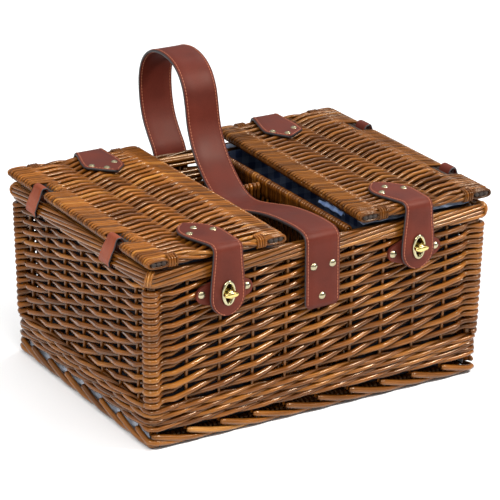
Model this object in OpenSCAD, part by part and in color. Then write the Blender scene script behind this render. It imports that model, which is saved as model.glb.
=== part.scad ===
/* [Basket body] */
// Width across the rim, left to right
rim_w = 400; // [390:1:420]
// Depth across the rim, front to back
rim_d = 300; // [290:1:320]
// Height of the rim above the ground
rim_h = 190; // [186:1:210]
// How far a wall leans in between the rim and the ground
wall_lean = 4; // [2:0.5:5]
// Thickness of a woven wall
wall_t = 8.5; // [7:0.5:9]
// Width of the rim border, seen from above
rim_t = 12; // [11:0.5:12.5]
// Height of the rim border
rim_band_h = 16; // [14:1:18]
// Height of the plaited foot border
foot_h = 20; // [14:1:24]
// Height of the heavy woven band above the foot
band_h = 25; // [20:1:30]
// Thickness of the woven base
base_t = 10; // [6:1:12]
// Radius of a wrapped corner post
post_r = 8; // [6:0.5:8]

/* [Centre compartment] */
// Distance of each partition from the middle of the basket
partition_x = 39; // [36:0.5:41]
// Thickness of a woven partition
partition_t = 6; // [4:0.5:7]
// Radius of the wrapped rail on top of a partition
rail_r = 4; // [3:0.5:4.5]
// Place of the cross divider, from the middle towards the back
divider_y = 32; // [10:1:50]
// Height of the cross divider
divider_h = 185; // [120:1:186]

/* [Lining] */
// Thickness of the quilted cotton lining
lining_t = 1.2; // [0.8:0.1:1.6]
// Width of the hem that the right lining lays on the rim
hem_w = 8; // [4:1:9]

/* [Lids] */
// Thickness of a lid
lid_t = 10.4; // [9:0.2:10.4]
// Gap between the rim and the closed left lid
lid_gap = 3.8; // [3:0.1:5]
// How much higher the right lid sits, on the lining's hem
hem_lift = 3.4; // [3:0.1:5]
// Distance of a lid's inner edge from the middle of the basket
lid_inner_x = 45; // [44:0.5:50]
// How far the right lid's inner edge runs out of square
lid_skew = 10; // [0:1:12]
// How far the lids stand out past the rim, front and back
lid_over = 2; // [0:0.5:2]
// Width of the stick bundle at each edge of a lid
bundle_w = 25; // [20:1:28]

/* [Leather] */
// Thickness of the straps
leather_t = 3; // [2.5:0.1:3.2]
// Width of a closing strap at its fold
strap_w = 32.5; // [28:0.5:34]
// Width of the strap's riveted head on the lid
head_w = 43; // [38:1:46]
// Length of the strap's head on the lid
head_len = 67; // [55:1:75]
// Angle by which a head leans to the left of its flap, in degrees
head_lean = 8.5; // [0:0.5:10]
// Width of the flap at its round end
flap_w = 37.2; // [35:0.2:37.6]
// Width of the patch under a flap
patch_w = 63; // [58:1:66]
// Height of the patch under a flap
patch_h = 34; // [28:1:34]
// Width of a hinge loop
loop_w = 20; // [16:1:22]
// Thickness of a hinge loop
loop_t = 2; // [1.5:0.1:2]

/* [Handle] */
// Width of the handle strap
handle_w = 40; // [36:1:44]
// Thickness of the handle strap
handle_t = 3.2; // [2.8:0.1:3.6]

/* [Hardware] */
// Radius of a rivet's domed head
rivet_r = 4; // [3:0.1:4.2]
// Height of a rivet's domed head
rivet_h = 2.2; // [1.5:0.1:2.4]
// Height of the eyelet ring
eyelet_h = 26; // [24:0.5:27]
// Width of the eyelet ring
eyelet_w = 15; // [14:0.5:16]
// Length of the turning knob
knob_len = 16; // [13:0.5:17]
// Thickness of the turning knob
knob_t = 5.6; // [4:0.2:6]
// Radius of the post that the knob turns on
knob_post_r = 2.3; // [1.8:0.1:2.4]

/* [Hidden] */
$fn = 48;

// Names for the two ends of each pair
LEFT = -1;
RIGHT = 1;
FRONT = -1;
BACK = 1;
SLIT = 0.3;
BIG = 1000;

// Wall planes: distance of a wall's outer face from the middle, at a height
rim_over = 3;
half_w = rim_w / 2;
half_d = rim_d / 2;
function face_at(half, z) = half - rim_over - wall_lean * (1 - z / rim_h);
wall_z0 = foot_h + band_h;
wall_z1 = rim_h - rim_band_h;
foot_half_w = half_w - wall_lean;
foot_half_d = half_d - wall_lean;
foot_t = 12;
band_t = 10;
band_in = 0.5;
post_x = foot_half_w - post_r;
post_y = foot_half_d - post_r;
inside_w = foot_half_w - band_in - band_t;
inside_d = foot_half_d - band_in - band_t;
partition_y = inside_d - 1.5;
// Cut across the outer corners of the lining, clear of the corner posts
corner_cut = 6;

// Hinge rods of the lids, on which each lid turns
hinge_x = half_w - 5;
hinge_r = lid_t / 2;
function lid_z(side) = rim_h + lid_gap + hinge_r + (side == RIGHT ? hem_lift : 0);
lid_y = half_d + lid_over;
loop_y = 80;
loop_in = hinge_r + 2;
loop_slot = 2 * loop_t + 1.3;
loop_z0 = wall_z1 - 6;

// Closing straps: place along the lid's edge, one for each side and end
function strap_x(side, end) = side == LEFT ? (end == FRONT ? -114 : -104) : (end == FRONT ? 108 : 113);
function head_extra(side, end) = side == LEFT ? (end == FRONT ? 3 : 12) : (end == FRONT ? 1 : 18);
function clasp_z(side) = side == LEFT ? 157 : 162.4;
fold_y = lid_y + 3.5;
fold_r = leather_t / 2;
function fold_z(side) = lid_z(side) + hinge_r + SLIT + fold_r;
flap_end_drop = 3;
flap_steps = 12;
head_steps = 24;

// Clasp hardware, counted outwards from the wall
patch_y0 = half_d - rim_over - 0.1;
patch_y1 = half_d;
plate_t = 1;
eyelet_wall = 2.5;
eyelet_flange_t = 1.5;
eyelet_front_y = fold_y + fold_r + SLIT + eyelet_flange_t;
knob_y0 = eyelet_front_y + 0.5;
knob_y1 = knob_y0 + 6;
post_fit = 0.05;

// Handle strap: its centre line from the front end to the back end, as [x, y, z]
HANDLE = [
    [-2, -150.4, 118], [-3, -151.4, 150], [-4, -152.3, 180], [-4.2, -152.5, 187.5],
    [-4.4, -151.4, 193], [-4.6, -146, 197], [-4.8, -136, 198.4], [-5, -118, 198.4],
    [-6, -94, 197],
    [-7, -70, 193.8], [-8, -43, 187.6], [-9, -16, 181.5], [-9, 2, 179.6],
    [-9, 17, 182.5], [-9, 32, 190.4], [-8.5, 46, 200], [-8, 58.5, 211.5],
    [-7.5, 70, 227], [-7, 78, 244], [-7, 82, 263], [-7, 87, 280],
    [-7, 97.5, 295], [-7, 114, 304.5], [-7, 136, 307.5], [-7, 158, 303],
    [-7, 174.5, 290], [-7, 182, 270], [-7, 181, 245], [-7, 174.5, 224],
    [-6.5, 164.5, 207], [-6, 156.5, 196], [-5, 152.6, 184], [-4, 151.8, 165],
    [-3, 151, 140], [-2, 150.4, 118]
];
HANDLE_RIVETS = [[-14, 163], [8, 163], [-3, 130]];
// The strap's ends lean out a little: their slope, and the place of their outer face
handle_lean = 1.8;
rivet_gap = 0.15;
function handle_face(z) = handle_t / 2 + rivet_gap - HANDLE[0][1] + tan(handle_lean) * (z - HANDLE[0][2]);

// A smooth curve through listed points, a few steps to each span
function spline(p, i, t) =
    let (a = p[max(i - 1, 0)], b = p[i], c = p[i + 1], d = p[min(i + 2, len(p) - 1)])
    0.5 * ((2 * b) + (c - a) * t + (2 * a - 5 * b + 4 * c - d) * t * t
        + (3 * b - a - 3 * c + d) * t * t * t);
function smooth_path(p, steps) =
    concat([for (i = [0:len(p) - 2]) for (k = [0:steps - 1]) spline(p, i, k / steps)],
        [p[len(p) - 1]]);
function ease(t) = t * t * (3 - 2 * t);

// Four solid sides of a rectangular band, mitred at the corners
module mitred_side(half_x, half_y, t, z0, z1, side) {
    long = abs(side[0]) > 0 ? half_y : half_x;
    out = abs(side[0]) > 0 ? half_x : half_y;
    turn = side == [0, -1] ? 0 : side == [1, 0] ? 90 : side == [0, 1] ? 180 : 270;
    rotate([0, 0, turn])
        translate([0, 0, z0])
            linear_extrude(z1 - z0)
                polygon([[-long, -out], [long, -out], [long - t, t - out], [t - long, t - out]]);
}

module band_ring(half_x, half_y, t, z0, z1) {
    translate([0, 0, z0])
        linear_extrude(z1 - z0)
            difference() {
                square([2 * half_x, 2 * half_y], center = true);
                square([2 * (half_x - t), 2 * (half_y - t)], center = true);
            }
}

// An upright slot outline with round ends
module stadium(w, h) {
    end_steps = 16;
    arc = [for (i = [0:end_steps]) let (a = 180 * i / end_steps) [cos(a), sin(a)] * w / 2];
    polygon(concat([for (p = arc) [p[0], p[1] + (h - w) / 2]],
        [for (p = arc) [-p[0], -p[1] - (h - w) / 2]]));
}

// Lays a flat outline, drawn in X and Z, from one distance to another outwards from a wall
module outward(y0, y1, end) {
    translate([0, end * (end == FRONT ? y0 : y1), 0])
        rotate([90, 0, 0])
            linear_extrude(y1 - y0)
                children();
}

module rivet_head() {
    ball_r = (rivet_r * rivet_r + rivet_h * rivet_h) / (2 * rivet_h);
    intersection() {
        translate([0, 0, rivet_h - ball_r]) sphere(ball_r);
        cylinder(r = rivet_r + 1, h = rivet_h + 1);
    }
}

// Wicker body
module base_panel() {
    color("peru")
        translate([0, 0, base_t / 2])
            cube([2 * (foot_half_w - foot_t - SLIT), 2 * (foot_half_d - foot_t - SLIT), base_t],
                center = true);
}

module foot_border() {
    color("saddlebrown") band_ring(foot_half_w, foot_half_d, foot_t, 0, foot_h);
}

module waling_band() {
    color("sienna")
        band_ring(foot_half_w - band_in, foot_half_d - band_in, band_t, foot_h, wall_z0);
}

function wall_outline(half) = [
    [-face_at(half, wall_z0), wall_z0], [-face_at(half, wall_z1), wall_z1],
    [wall_t - face_at(half, wall_z1), wall_z1], [wall_t - face_at(half, wall_z0), wall_z0]
];

module front_wall() {
    color("chocolate")
        rotate([90, 0, 90])
            linear_extrude(2 * (post_x - post_r - SLIT), center = true)
                polygon(wall_outline(half_d));
}

module side_wall(side) {
    color("chocolate")
        mirror([side == RIGHT ? 1 : 0, 0, 0])
            difference() {
                rotate([90, 0, 0])
                    linear_extrude(2 * (post_y - post_r - SLIT), center = true)
                        polygon(wall_outline(half_w));
                for (s = [FRONT, BACK])
                    translate([-half_w, s * loop_y, loop_z0 + loop_t / 2])
                        cube([4 * post_r, loop_w + 2 * SLIT, loop_t + 2 * SLIT], center = true);
            }
}

module corner_post(side, end) {
    color("sienna")
        translate([side * post_x, end * post_y, wall_z0])
            cylinder(r = post_r, h = wall_z1 - wall_z0);
}

module rim(side) {
    color("saddlebrown") mitred_side(half_w, half_d, rim_t, wall_z1, rim_h, side);
}

// A woven partition standing along Y, its rail on top
module partition(x) {
    color("peru") {
        translate([x - partition_t / 2, -partition_y, base_t])
            cube([partition_t, 2 * partition_y, rim_h - rail_r - base_t]);
        translate([x, 0, rim_h - rail_r])
            rotate([90, 0, 0])
                cylinder(r = rail_r, h = 2 * partition_y, center = true);
    }
}

module bottle_divider() {
    divider_w = 2 * (partition_x - rail_r - SLIT);
    color("peru") {
        translate([-divider_w / 2, divider_y - partition_t / 2, base_t])
            cube([divider_w, partition_t, divider_h - rail_r - base_t]);
        translate([0, divider_y, divider_h - rail_r])
            rotate([0, 90, 0])
                cylinder(r = rail_r, h = divider_w, center = true);
    }
}

// A flat shape from x0 to x1 and y each way, with its two outer corners cut off
module clipped_rect(x0, x1, y) {
    polygon([[x0, -y], [x1 - corner_cut, -y], [x1, corner_cut - y],
        [x1, y - corner_cut], [x1 - corner_cut, y], [x0, y]]);
}

// Cotton lining, an open pouch inside a side compartment
module lining(side) {
    hem = side == RIGHT;
    x0 = partition_x + rail_r + 0.5;
    x1 = foot_half_w - foot_t - SLIT;
    y1 = foot_half_d - foot_t - SLIT;
    z0 = base_t + SLIT;
    z1 = hem ? rim_h + SLIT + lining_t : rim_h - 3;
    color("lightsteelblue")
        mirror([side == LEFT ? 1 : 0, 0, 0])
            difference() {
                union() {
                    translate([0, 0, z0]) linear_extrude(z1 - z0) clipped_rect(x0, x1, y1);
                    if (hem)
                        translate([x0, -y1 - hem_w, rim_h + SLIT])
                            cube([x1 - x0, 2 * (y1 + hem_w), lining_t]);
                }
                translate([0, 0, z0 + lining_t])
                    linear_extrude(BIG)
                        clipped_rect(x0 + lining_t, x1 - lining_t, y1 - lining_t);
            }
}

// Leather handle and its rivets
module handle_strap() {
    path = smooth_path(HANDLE, 2);
    n = len(path);
    corners = [
        for (i = [0:n - 1])
            let (
                run = path[min(i + 1, n - 1)] - path[max(i - 1, 0)],
                size = norm([run[1], run[2]]),
                out = [0, -run[2], run[1]] * (handle_t / 2 / size),
                across = [handle_w / 2, 0, 0]
            )
            each [path[i] - across - out, path[i] + across - out,
                path[i] + across + out, path[i] - across + out]
    ];
    sides = [
        for (i = [0:n - 2])
            for (k = [0:3])
                let (a = 4 * i + k, b = 4 * i + (k + 1) % 4)
                each [[a, a + 4, b], [b, a + 4, b + 4]]
    ];
    last = 4 * (n - 1);
    color("brown")
        polyhedron(corners, concat(sides, [[0, 1, 2], [0, 2, 3],
            [last, last + 2, last + 1], [last, last + 3, last + 2]]));
}

module handle_rivets() {
    color("gold")
        for (end = [FRONT, BACK])
            for (p = HANDLE_RIVETS)
                translate([p[0], end * handle_face(p[1]), p[1]])
                    rotate([-end * (90 + handle_lean), 0, 0]) rivet_head();
}

// Leather loop round a hinge rod and the rim, threaded through the side wall
module hinge_loop(side, end) {
    top = lid_z(side);
    out = loop_in + loop_t;
    color("firebrick")
        translate([side * hinge_x, end * loop_y + loop_w / 2, 0])
            rotate([90, 0, 0])
                linear_extrude(loop_w)
                    difference() {
                        union() {
                            translate([0, top]) circle(out);
                            translate([-out, loop_z0]) square([2 * out, top - loop_z0]);
                        }
                        translate([0, top]) circle(loop_in);
                        translate([-loop_in, loop_z0 + loop_t])
                            square([2 * loop_in, top - loop_z0 - loop_t]);
                    }
}

// Closures on the walls
module patch(side, end) {
    end_r = 9;
    top_r = 6;
    color("maroon")
        translate([strap_x(side, end), 0, clasp_z(side) - (side == RIGHT ? 6 : 1)])
            outward(patch_y0, patch_y1, end)
                hull() {
                    for (s = [-1, 1])
                        translate([s * (patch_w / 2 - end_r), 0]) circle(end_r, $fn = 32);
                    for (s = [-1, 1])
                        translate([0, s * (patch_h / 2 - top_r)]) circle(top_r, $fn = 32);
                }
}

module patch_rivets() {
    color("gold")
        for (side = [LEFT, RIGHT])
            for (end = [FRONT, BACK])
                for (s = [-1, 1])
                    translate([strap_x(side, end) + s * (patch_w / 2 - 6), end * patch_y1,
                            clasp_z(side) - (side == RIGHT ? 6 : 0)])
                        rotate([-90 * end, 0, 0]) rivet_head();
}

module clasp_plates() {
    boss_r = 4;
    boss_y = fold_y - fold_r - 0.5;
    color("darkkhaki")
        for (side = [LEFT, RIGHT])
            for (end = [FRONT, BACK])
                translate([strap_x(side, end), 0, clasp_z(side)]) {
                    outward(patch_y1, patch_y1 + plate_t, end)
                        stadium(eyelet_w - 3, eyelet_h - 3);
                    outward(patch_y1, boss_y, end) circle(boss_r);
                    outward(patch_y1, knob_y1 - 2, end) circle(knob_post_r);
                }
}

// Turning knob on its post, crosswise to the eyelet when locked
module knob(side, end) {
    color("khaki")
        translate([strap_x(side, end), 0, clasp_z(side)])
            difference() {
                outward(knob_y0, knob_y1, end) {
                    rotate(90) stadium(knob_t, knob_len);
                    circle(knob_t / 2 + 1.2);
                }
                outward(knob_y0 - 1, knob_y1 - 1.5, end) circle(knob_post_r + post_fit);
            }
}

// Lids. A lid is drawn for the right side and mirrored for the left
function skew_at(side, y) = side == RIGHT ? lid_skew * y / (2 * lid_y) : 0;
function inner_x(side, y) = lid_inner_x + skew_at(side, y);

module on_side(side) {
    mirror([side == LEFT ? 1 : 0, 0, 0])
        translate([0, 0, lid_z(side)])
            children();
}

module lid_panel(side) {
    outer = hinge_x + hinge_r - bundle_w - SLIT;
    panel_y = lid_y - 1;
    color("peru")
        on_side(side)
            translate([0, 0, -hinge_r])
                linear_extrude(lid_t)
                    polygon([
                        [outer, -panel_y], [outer, panel_y],
                        [inner_x(side, panel_y) + bundle_w + SLIT, panel_y],
                        [inner_x(side, -panel_y) + bundle_w + SLIT, -panel_y]
                    ]);
}

module lid_outer_rail(side) {
    flat_w = bundle_w - hinge_r;
    color("sienna")
        on_side(side)
            difference() {
                union() {
                    translate([hinge_x, 0, 0])
                        rotate([90, 0, 0])
                            cylinder(r = hinge_r, h = 2 * lid_y, center = true);
                    translate([hinge_x - flat_w, -lid_y, -hinge_r])
                        cube([flat_w, 2 * lid_y, lid_t]);
                }
                for (end = [FRONT, BACK])
                    translate([hinge_x - hinge_r - loop_slot, end * loop_y - loop_w / 2 - 2, -lid_t])
                        cube([loop_slot, loop_w + 4, 2 * lid_t]);
                for (end = [FRONT, BACK])
                    translate([hinge_x, end * loop_y, 0])
                        rotate([90, 0, 0])
                            difference() {
                                cylinder(r = hinge_r + 3, h = loop_w + 4, center = true);
                                cylinder(r = hinge_r, h = loop_w + 6, center = true);
                            }
            }
}

module lid_inner_rail(side) {
    color("sienna")
        on_side(side)
            translate([0, 0, -hinge_r])
                linear_extrude(lid_t)
                    polygon([
                        [inner_x(side, -lid_y), -lid_y], [inner_x(side, lid_y), lid_y],
                        [inner_x(side, lid_y) + bundle_w, lid_y],
                        [inner_x(side, -lid_y) + bundle_w, -lid_y]
                    ]);
}

// Turns of cane that bind the ends of the weave, beside each bundle
module lid_bindings(side) {
    bind_w = 12;
    bind_t = 1;
    outer = hinge_x + hinge_r - bundle_w - 2;
    color("burlywood")
        on_side(side)
            for (end = [FRONT, BACK])
                for (x = [outer - bind_w, inner_x(side, end * lid_y) + bundle_w + 2])
                    translate([x, end == FRONT ? -lid_y : lid_y - 8, hinge_r + 0.1])
                        cube([bind_w, 8, bind_t]);
}

// Outline of a strap's head: a neck that flares into a pointed arch, leaning to the left
function head_half(v, long) =
    let (arch = 0.43 * head_len, flare = long - arch, t = (v - flare) / arch)
    v < flare
        ? strap_w / 2 + (head_w - strap_w) / 2 * ease(v / flare)
        : head_w / 2 * pow(max(1 - t * t, 0), 0.75);
function head_outline(long) = concat(
    [for (i = [0:head_steps]) let (v = long * i / head_steps)
        [head_half(v, long) - tan(head_lean) * v, v]],
    [for (i = [head_steps - 1:-1:0]) let (v = long * i / head_steps)
        [-head_half(v, long) - tan(head_lean) * v, v]]
);

module strap_head(side, end) {
    color("brown")
        translate([strap_x(side, end), end * fold_y, fold_z(side)]) {
            mirror([0, end == BACK ? 1 : 0, 0])
                translate([0, 0, -fold_r])
                    linear_extrude(leather_t)
                        polygon(head_outline(head_len + head_extra(side, end)));
            rotate([0, 90, 0]) cylinder(r = fold_r, h = strap_w, center = true);
        }
}

module strap_rivets(side) {
    side_v = 38;
    tip_v = 50;
    side_x = 13.3;
    color("gold")
        for (end = [FRONT, BACK])
            translate([strap_x(side, end), end * fold_y, fold_z(side) + fold_r])
                for (p = [[-side_x, side_v], [side_x, side_v], [0, tip_v]])
                    let (v = p[1] + head_extra(side, end))
                        translate([p[0] - tan(head_lean) * v, -end * v, 0]) rivet_head();
}

// Flap that hangs from the fold, over its patch
module flap(side, end) {
    top_gap = fold_r + 0.4;
    drop = fold_z(side) - clasp_z(side);
    round_z = -drop - flap_end_drop;
    flare = [for (i = [0:flap_steps])
        let (t = i / flap_steps)
        [strap_w / 2 + (flap_w - strap_w) / 2 * ease(t), -top_gap + (round_z + top_gap) * t]];
    round_end = [for (i = [1:2 * flap_steps - 1])
        let (a = -180 * i / (2 * flap_steps))
        [flap_w / 2 * cos(a), round_z + flap_w / 2 * sin(a)]];
    color("brown")
        translate([strap_x(side, end), 0, fold_z(side)])
            outward(fold_y - fold_r, fold_y + fold_r, end)
                difference() {
                    polygon(concat(flare, round_end,
                        [for (i = [flap_steps:-1:0]) [-flare[i][0], flare[i][1]]]));
                    translate([0, -drop]) stadium(eyelet_w - 2.4, eyelet_h - 2.4);
                }
}

module eyelet(side, end) {
    color("khaki")
        translate([strap_x(side, end), 0, clasp_z(side)])
            difference() {
                union() {
                    outward(fold_y - fold_r, fold_y + fold_r + SLIT, end)
                        stadium(eyelet_w - 3, eyelet_h - 3);
                    outward(fold_y + fold_r + SLIT, eyelet_front_y, end)
                        stadium(eyelet_w, eyelet_h);
                }
                outward(fold_y - BIG / 10, fold_y + BIG / 10, end)
                    stadium(eyelet_w - 2 * eyelet_wall, eyelet_h - 2 * eyelet_wall);
            }
}

base_panel();
foot_border();
waling_band();
front_wall();  // wall_front
mirror([0, 1, 0]) front_wall();  // wall_back
side_wall(LEFT);  // wall_left
side_wall(RIGHT);  // wall_right
corner_post(LEFT, FRONT);  // corner_post_front_left
corner_post(RIGHT, FRONT);  // corner_post_front_right
corner_post(LEFT, BACK);  // corner_post_back_left
corner_post(RIGHT, BACK);  // corner_post_back_right
rim([0, -1]);  // rim_front
rim([0, 1]);  // rim_back
rim([-1, 0]);  // rim_left
rim([1, 0]);  // rim_right
partition(-partition_x);  // partition_left
partition(partition_x);  // partition_right
bottle_divider();
lining(LEFT);  // lining_left
lining(RIGHT);  // lining_right
handle_strap();
handle_rivets();
hinge_loop(LEFT, FRONT);  // hinge_loop_left_front
hinge_loop(LEFT, BACK);  // hinge_loop_left_back
hinge_loop(RIGHT, FRONT);  // hinge_loop_right_front
hinge_loop(RIGHT, BACK);  // hinge_loop_right_back
patch(LEFT, FRONT);  // patch_left_front
patch(LEFT, BACK);  // patch_left_back
patch(RIGHT, FRONT);  // patch_right_front
patch(RIGHT, BACK);  // patch_right_back
patch_rivets();
clasp_plates();
knob(LEFT, FRONT);  // knob_left_front
knob(LEFT, BACK);  // knob_left_back
knob(RIGHT, FRONT);  // knob_right_front
knob(RIGHT, BACK);  // knob_right_back
lid_panel(LEFT);  // lid_left_panel
lid_outer_rail(LEFT);  // lid_left_outer_rail
lid_inner_rail(LEFT);  // lid_left_inner_rail
lid_bindings(LEFT);  // lid_left_bindings
strap_head(LEFT, FRONT);  // strap_left_front
strap_head(LEFT, BACK);  // strap_left_back
strap_rivets(LEFT);  // strap_left_rivets
lid_panel(RIGHT);  // lid_right_panel
lid_outer_rail(RIGHT);  // lid_right_outer_rail
lid_inner_rail(RIGHT);  // lid_right_inner_rail
lid_bindings(RIGHT);  // lid_right_bindings
strap_head(RIGHT, FRONT);  // strap_right_front
strap_head(RIGHT, BACK);  // strap_right_back
strap_rivets(RIGHT);  // strap_right_rivets
flap(LEFT, FRONT);  // flap_left_front
flap(LEFT, BACK);  // flap_left_back
flap(RIGHT, FRONT);  // flap_right_front
flap(RIGHT, BACK);  // flap_right_back
eyelet(LEFT, FRONT);  // eyelet_left_front
eyelet(LEFT, BACK);  // eyelet_left_back
eyelet(RIGHT, FRONT);  // eyelet_right_front
eyelet(RIGHT, BACK);  // eyelet_right_back
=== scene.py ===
import math

import bmesh
import bpy
import numpy as np
from mathutils import Matrix, Vector


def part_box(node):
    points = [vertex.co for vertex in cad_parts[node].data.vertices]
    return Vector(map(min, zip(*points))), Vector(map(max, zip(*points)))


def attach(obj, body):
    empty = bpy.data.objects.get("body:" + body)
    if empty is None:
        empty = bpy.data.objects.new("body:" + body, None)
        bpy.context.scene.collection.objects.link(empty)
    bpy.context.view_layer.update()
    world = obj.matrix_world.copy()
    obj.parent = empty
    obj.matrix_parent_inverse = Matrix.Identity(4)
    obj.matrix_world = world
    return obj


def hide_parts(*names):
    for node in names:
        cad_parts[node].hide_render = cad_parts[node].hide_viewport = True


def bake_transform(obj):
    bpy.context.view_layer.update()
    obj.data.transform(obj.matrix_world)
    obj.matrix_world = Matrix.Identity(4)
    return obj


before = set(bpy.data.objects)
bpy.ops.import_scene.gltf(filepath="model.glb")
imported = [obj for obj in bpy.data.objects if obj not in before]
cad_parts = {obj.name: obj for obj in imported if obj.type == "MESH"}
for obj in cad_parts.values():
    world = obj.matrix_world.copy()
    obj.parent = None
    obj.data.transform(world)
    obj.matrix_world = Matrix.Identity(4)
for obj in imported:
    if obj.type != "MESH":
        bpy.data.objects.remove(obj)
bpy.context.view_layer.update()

MM = 0.001
X, Y, Z = np.eye(3)
chance = np.random.default_rng(11)

# ---------------------------------------------------------------- places, from the frame

SIDES = {"left": -1, "right": 1}
ENDS = {"front": -1, "back": 1}
CORNERS = [(sx, sy) for sx in SIDES.values() for sy in ENDS.values()]


def corners(node):
    """Lowest and highest corner of a CAD node as two arrays."""
    low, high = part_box(node)
    return np.array(low), np.array(high)


def middle(node):
    low, high = corners(node)
    return (low + high) / 2


HALF_X, HALF_Y, RIM_Z1 = corners("rim_back")[1]
RIM_Z0 = corners("rim_front")[0][2]
FOOT_HIGH = corners("foot_border")[1]
BAND_TOP = corners("waling_band")[1][2]
WALL_LOW, WALL_HIGH = corners("wall_front")
WALL_T = WALL_HIGH[1] - WALL_LOW[1] - 3 * MM  # less what the wall leans over its height
LEAN = HALF_X - FOOT_HIGH[0]
RIM_OVER = 3 * MM
STAKE_GAP = 38 * MM
FRONT_STAKES = [STAKE_GAP * i for i in range(-4, 5)]
SIDE_STAKES = [STAKE_GAP * i for i in range(-3, 4)]


# ---------------------------------------------------------------- making objects


def give(obj, body, material, replaced=()):
    """Finishes a new piece: its material, its body and the CAD nodes it stands for."""
    if material is not None:
        obj.data.materials.append(material)
    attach(obj, body)
    if replaced:
        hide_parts(*replaced)
    return obj


def mesh_object(name, points, faces, smooth=True):
    mesh = bpy.data.meshes.new(name)
    mesh.from_pydata([tuple(p) for p in points], [], [tuple(f) for f in faces])
    mesh.polygons.foreach_set("use_smooth", [smooth] * len(mesh.polygons))
    mesh.update()
    obj = bpy.data.objects.new(name, mesh)
    bpy.context.scene.collection.objects.link(obj)
    return obj


def unit(v):
    return v / np.maximum(np.linalg.norm(v, axis=-1, keepdims=True), 1e-12)


def circle(n):
    """Angles of n even steps round a circle."""
    return np.linspace(0, 2 * np.pi, n, endpoint=False)


def travelled(path):
    """Distance along a path from its start to each of its points."""
    return np.concatenate([[0], np.cumsum(np.linalg.norm(np.diff(path, axis=0), axis=1))])


def quads(rows, columns, closed=False):
    """Faces of a grid of points, given row by row. closed joins each row's end to its start."""
    return [[i * columns + j, i * columns + (j + 1) % columns,
             (i + 1) * columns + (j + 1) % columns, (i + 1) * columns + j]
            for i in range(rows - 1) for j in range(columns if closed else columns - 1)]


def tube(rows, columns):
    """Faces of a tube of rings with both ends capped."""
    caps = [list(range(columns))[::-1], [(rows - 1) * columns + j for j in range(columns)]]
    return quads(rows, columns, closed=True) + caps


class Rods:
    """Round willow rods gathered into one mesh. Every rod has a tone, every point of it a painted shade,
    and a grain coordinate that runs round and along it."""

    def __init__(self, sides=8):
        self.sides = sides
        self.points, self.faces, self.tones, self.shades, self.grains = [], [], [], [], []
        self.count = 0

    def add(self, path, radius, across, tone=None, shade=1.0, thick=None, closed=False, face=None):
        """path: the rod's centre line. across: a direction never along the rod.
        radius: half its width along across, and thick: half its size the other way, if flattened.
        face: the lit direction; the sides of the rod turned away from it get more painted shade."""
        path = np.asarray(path, float)
        n, k = len(path), self.sides
        run = unit(np.roll(path, -1, 0) - np.roll(path, 1, 0) if closed else np.gradient(path, axis=0))
        side = unit(np.cross(run, across))
        up = np.cross(side, run)
        turn = 2 * np.pi * np.arange(k) / k
        c, s = np.cos(turn)[None, :, None], np.sin(turn)[None, :, None]
        wide = np.broadcast_to(radius, n)[:, None, None]
        deep = wide if thick is None else np.broadcast_to(thick, n)[:, None, None]
        rings = path[:, None] + side[:, None] * c * deep + up[:, None] * s * wide
        self.points.append(rings.reshape(-1, 3))
        self.add_faces(n, k, closed)
        self.tones.append(np.full(n * k, chance.random() if tone is None else tone))
        # Painted shade: the given shade, darkened further on the sides turned away from face.
        shade = np.broadcast_to(shade, n)[:, None] * np.ones(k)
        if face is not None:
            normal = unit(side[:, None] * c + up[:, None] * s)
            toward = (normal * np.broadcast_to(face, (n, 3))[:, None]).sum(-1)
            shade = shade * (0.20 + 0.80 * np.clip(toward * 1.05 + 0.18, 0, 1))
        self.shades.append(shade.ravel())
        start = chance.random(3) * 50
        grain = np.zeros((n, k, 3))
        grain[:, :, 0] = start[0] + np.cos(turn)
        grain[:, :, 1] = start[1] + np.sin(turn)
        grain[:, :, 2] = start[2] + travelled(path)[:, None] / (20 * MM)
        self.grains.append(grain.reshape(-1, 3))

    def add_faces(self, n, k, closed):
        """Joins n rings of k points, which were added last. A rod that isn't closed has end caps."""
        i = np.arange(n if closed else n - 1)[:, None]
        j = np.arange(k)[None, :]
        a, b = i * k, ((i + 1) % n) * k
        sheet = np.stack([a + j, a + (j + 1) % k, b + (j + 1) % k, b + j], -1).reshape(-1, 4)
        self.faces += (sheet + self.count).tolist()
        if not closed:
            self.faces.append([self.count + m for m in range(k)][::-1])
            self.faces.append([self.count + (n - 1) * k + m for m in range(k)])
        self.count += n * k

    def build(self, name):
        obj = mesh_object(name, np.concatenate(self.points), self.faces)
        for title, kind, key, values in (("tone", "FLOAT", "value", self.tones),
                                         ("shade", "FLOAT", "value", self.shades),
                                         ("grain", "FLOAT_VECTOR", "vector", self.grains)):
            layer = obj.data.attributes.new(title, kind, "POINT")
            layer.data.foreach_set(key, np.concatenate(values).astype(np.float32).ravel())
        return obj


def eased(keys, values, step):
    """Runs from key to key in even steps, with values that turn gently at each key."""
    where, what = [], []
    for a, b, va, vb in zip(keys[:-1], keys[1:], values[:-1], values[1:]):
        n = max(3, round(abs(b - a) / step))
        t = np.arange(n) / n
        blend = 0.5 * t + 0.25 * (1 - np.cos(np.pi * t))
        where.append(a + (b - a) * t)
        what.append(va + (vb - va) * blend)
    where.append([keys[-1]])
    what.append([values[-1]])
    return np.concatenate(where), np.concatenate(what)


def spline(points, steps):
    """A smooth curve through points, as the handle's route is drawn."""
    p = np.asarray(points, float)
    out = []
    for i in range(len(p) - 1):
        a, b, c, d = p[max(i - 1, 0)], p[i], p[i + 1], p[min(i + 2, len(p) - 1)]
        for t in np.arange(steps) / steps:
            out.append(0.5 * (2 * b + (c - a) * t + (2 * a - 5 * b + 4 * c - d) * t**2
                              + (3 * b - a - 3 * c + d) * t**3))
    return np.array(out + [p[-1]])


# ---------------------------------------------------------------- materials


def nodes_for(name):
    mat = bpy.data.materials.new(name)
    mat.use_nodes = True
    tree = mat.node_tree
    shader = tree.nodes["Principled BSDF"]
    return mat, tree, shader


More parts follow.
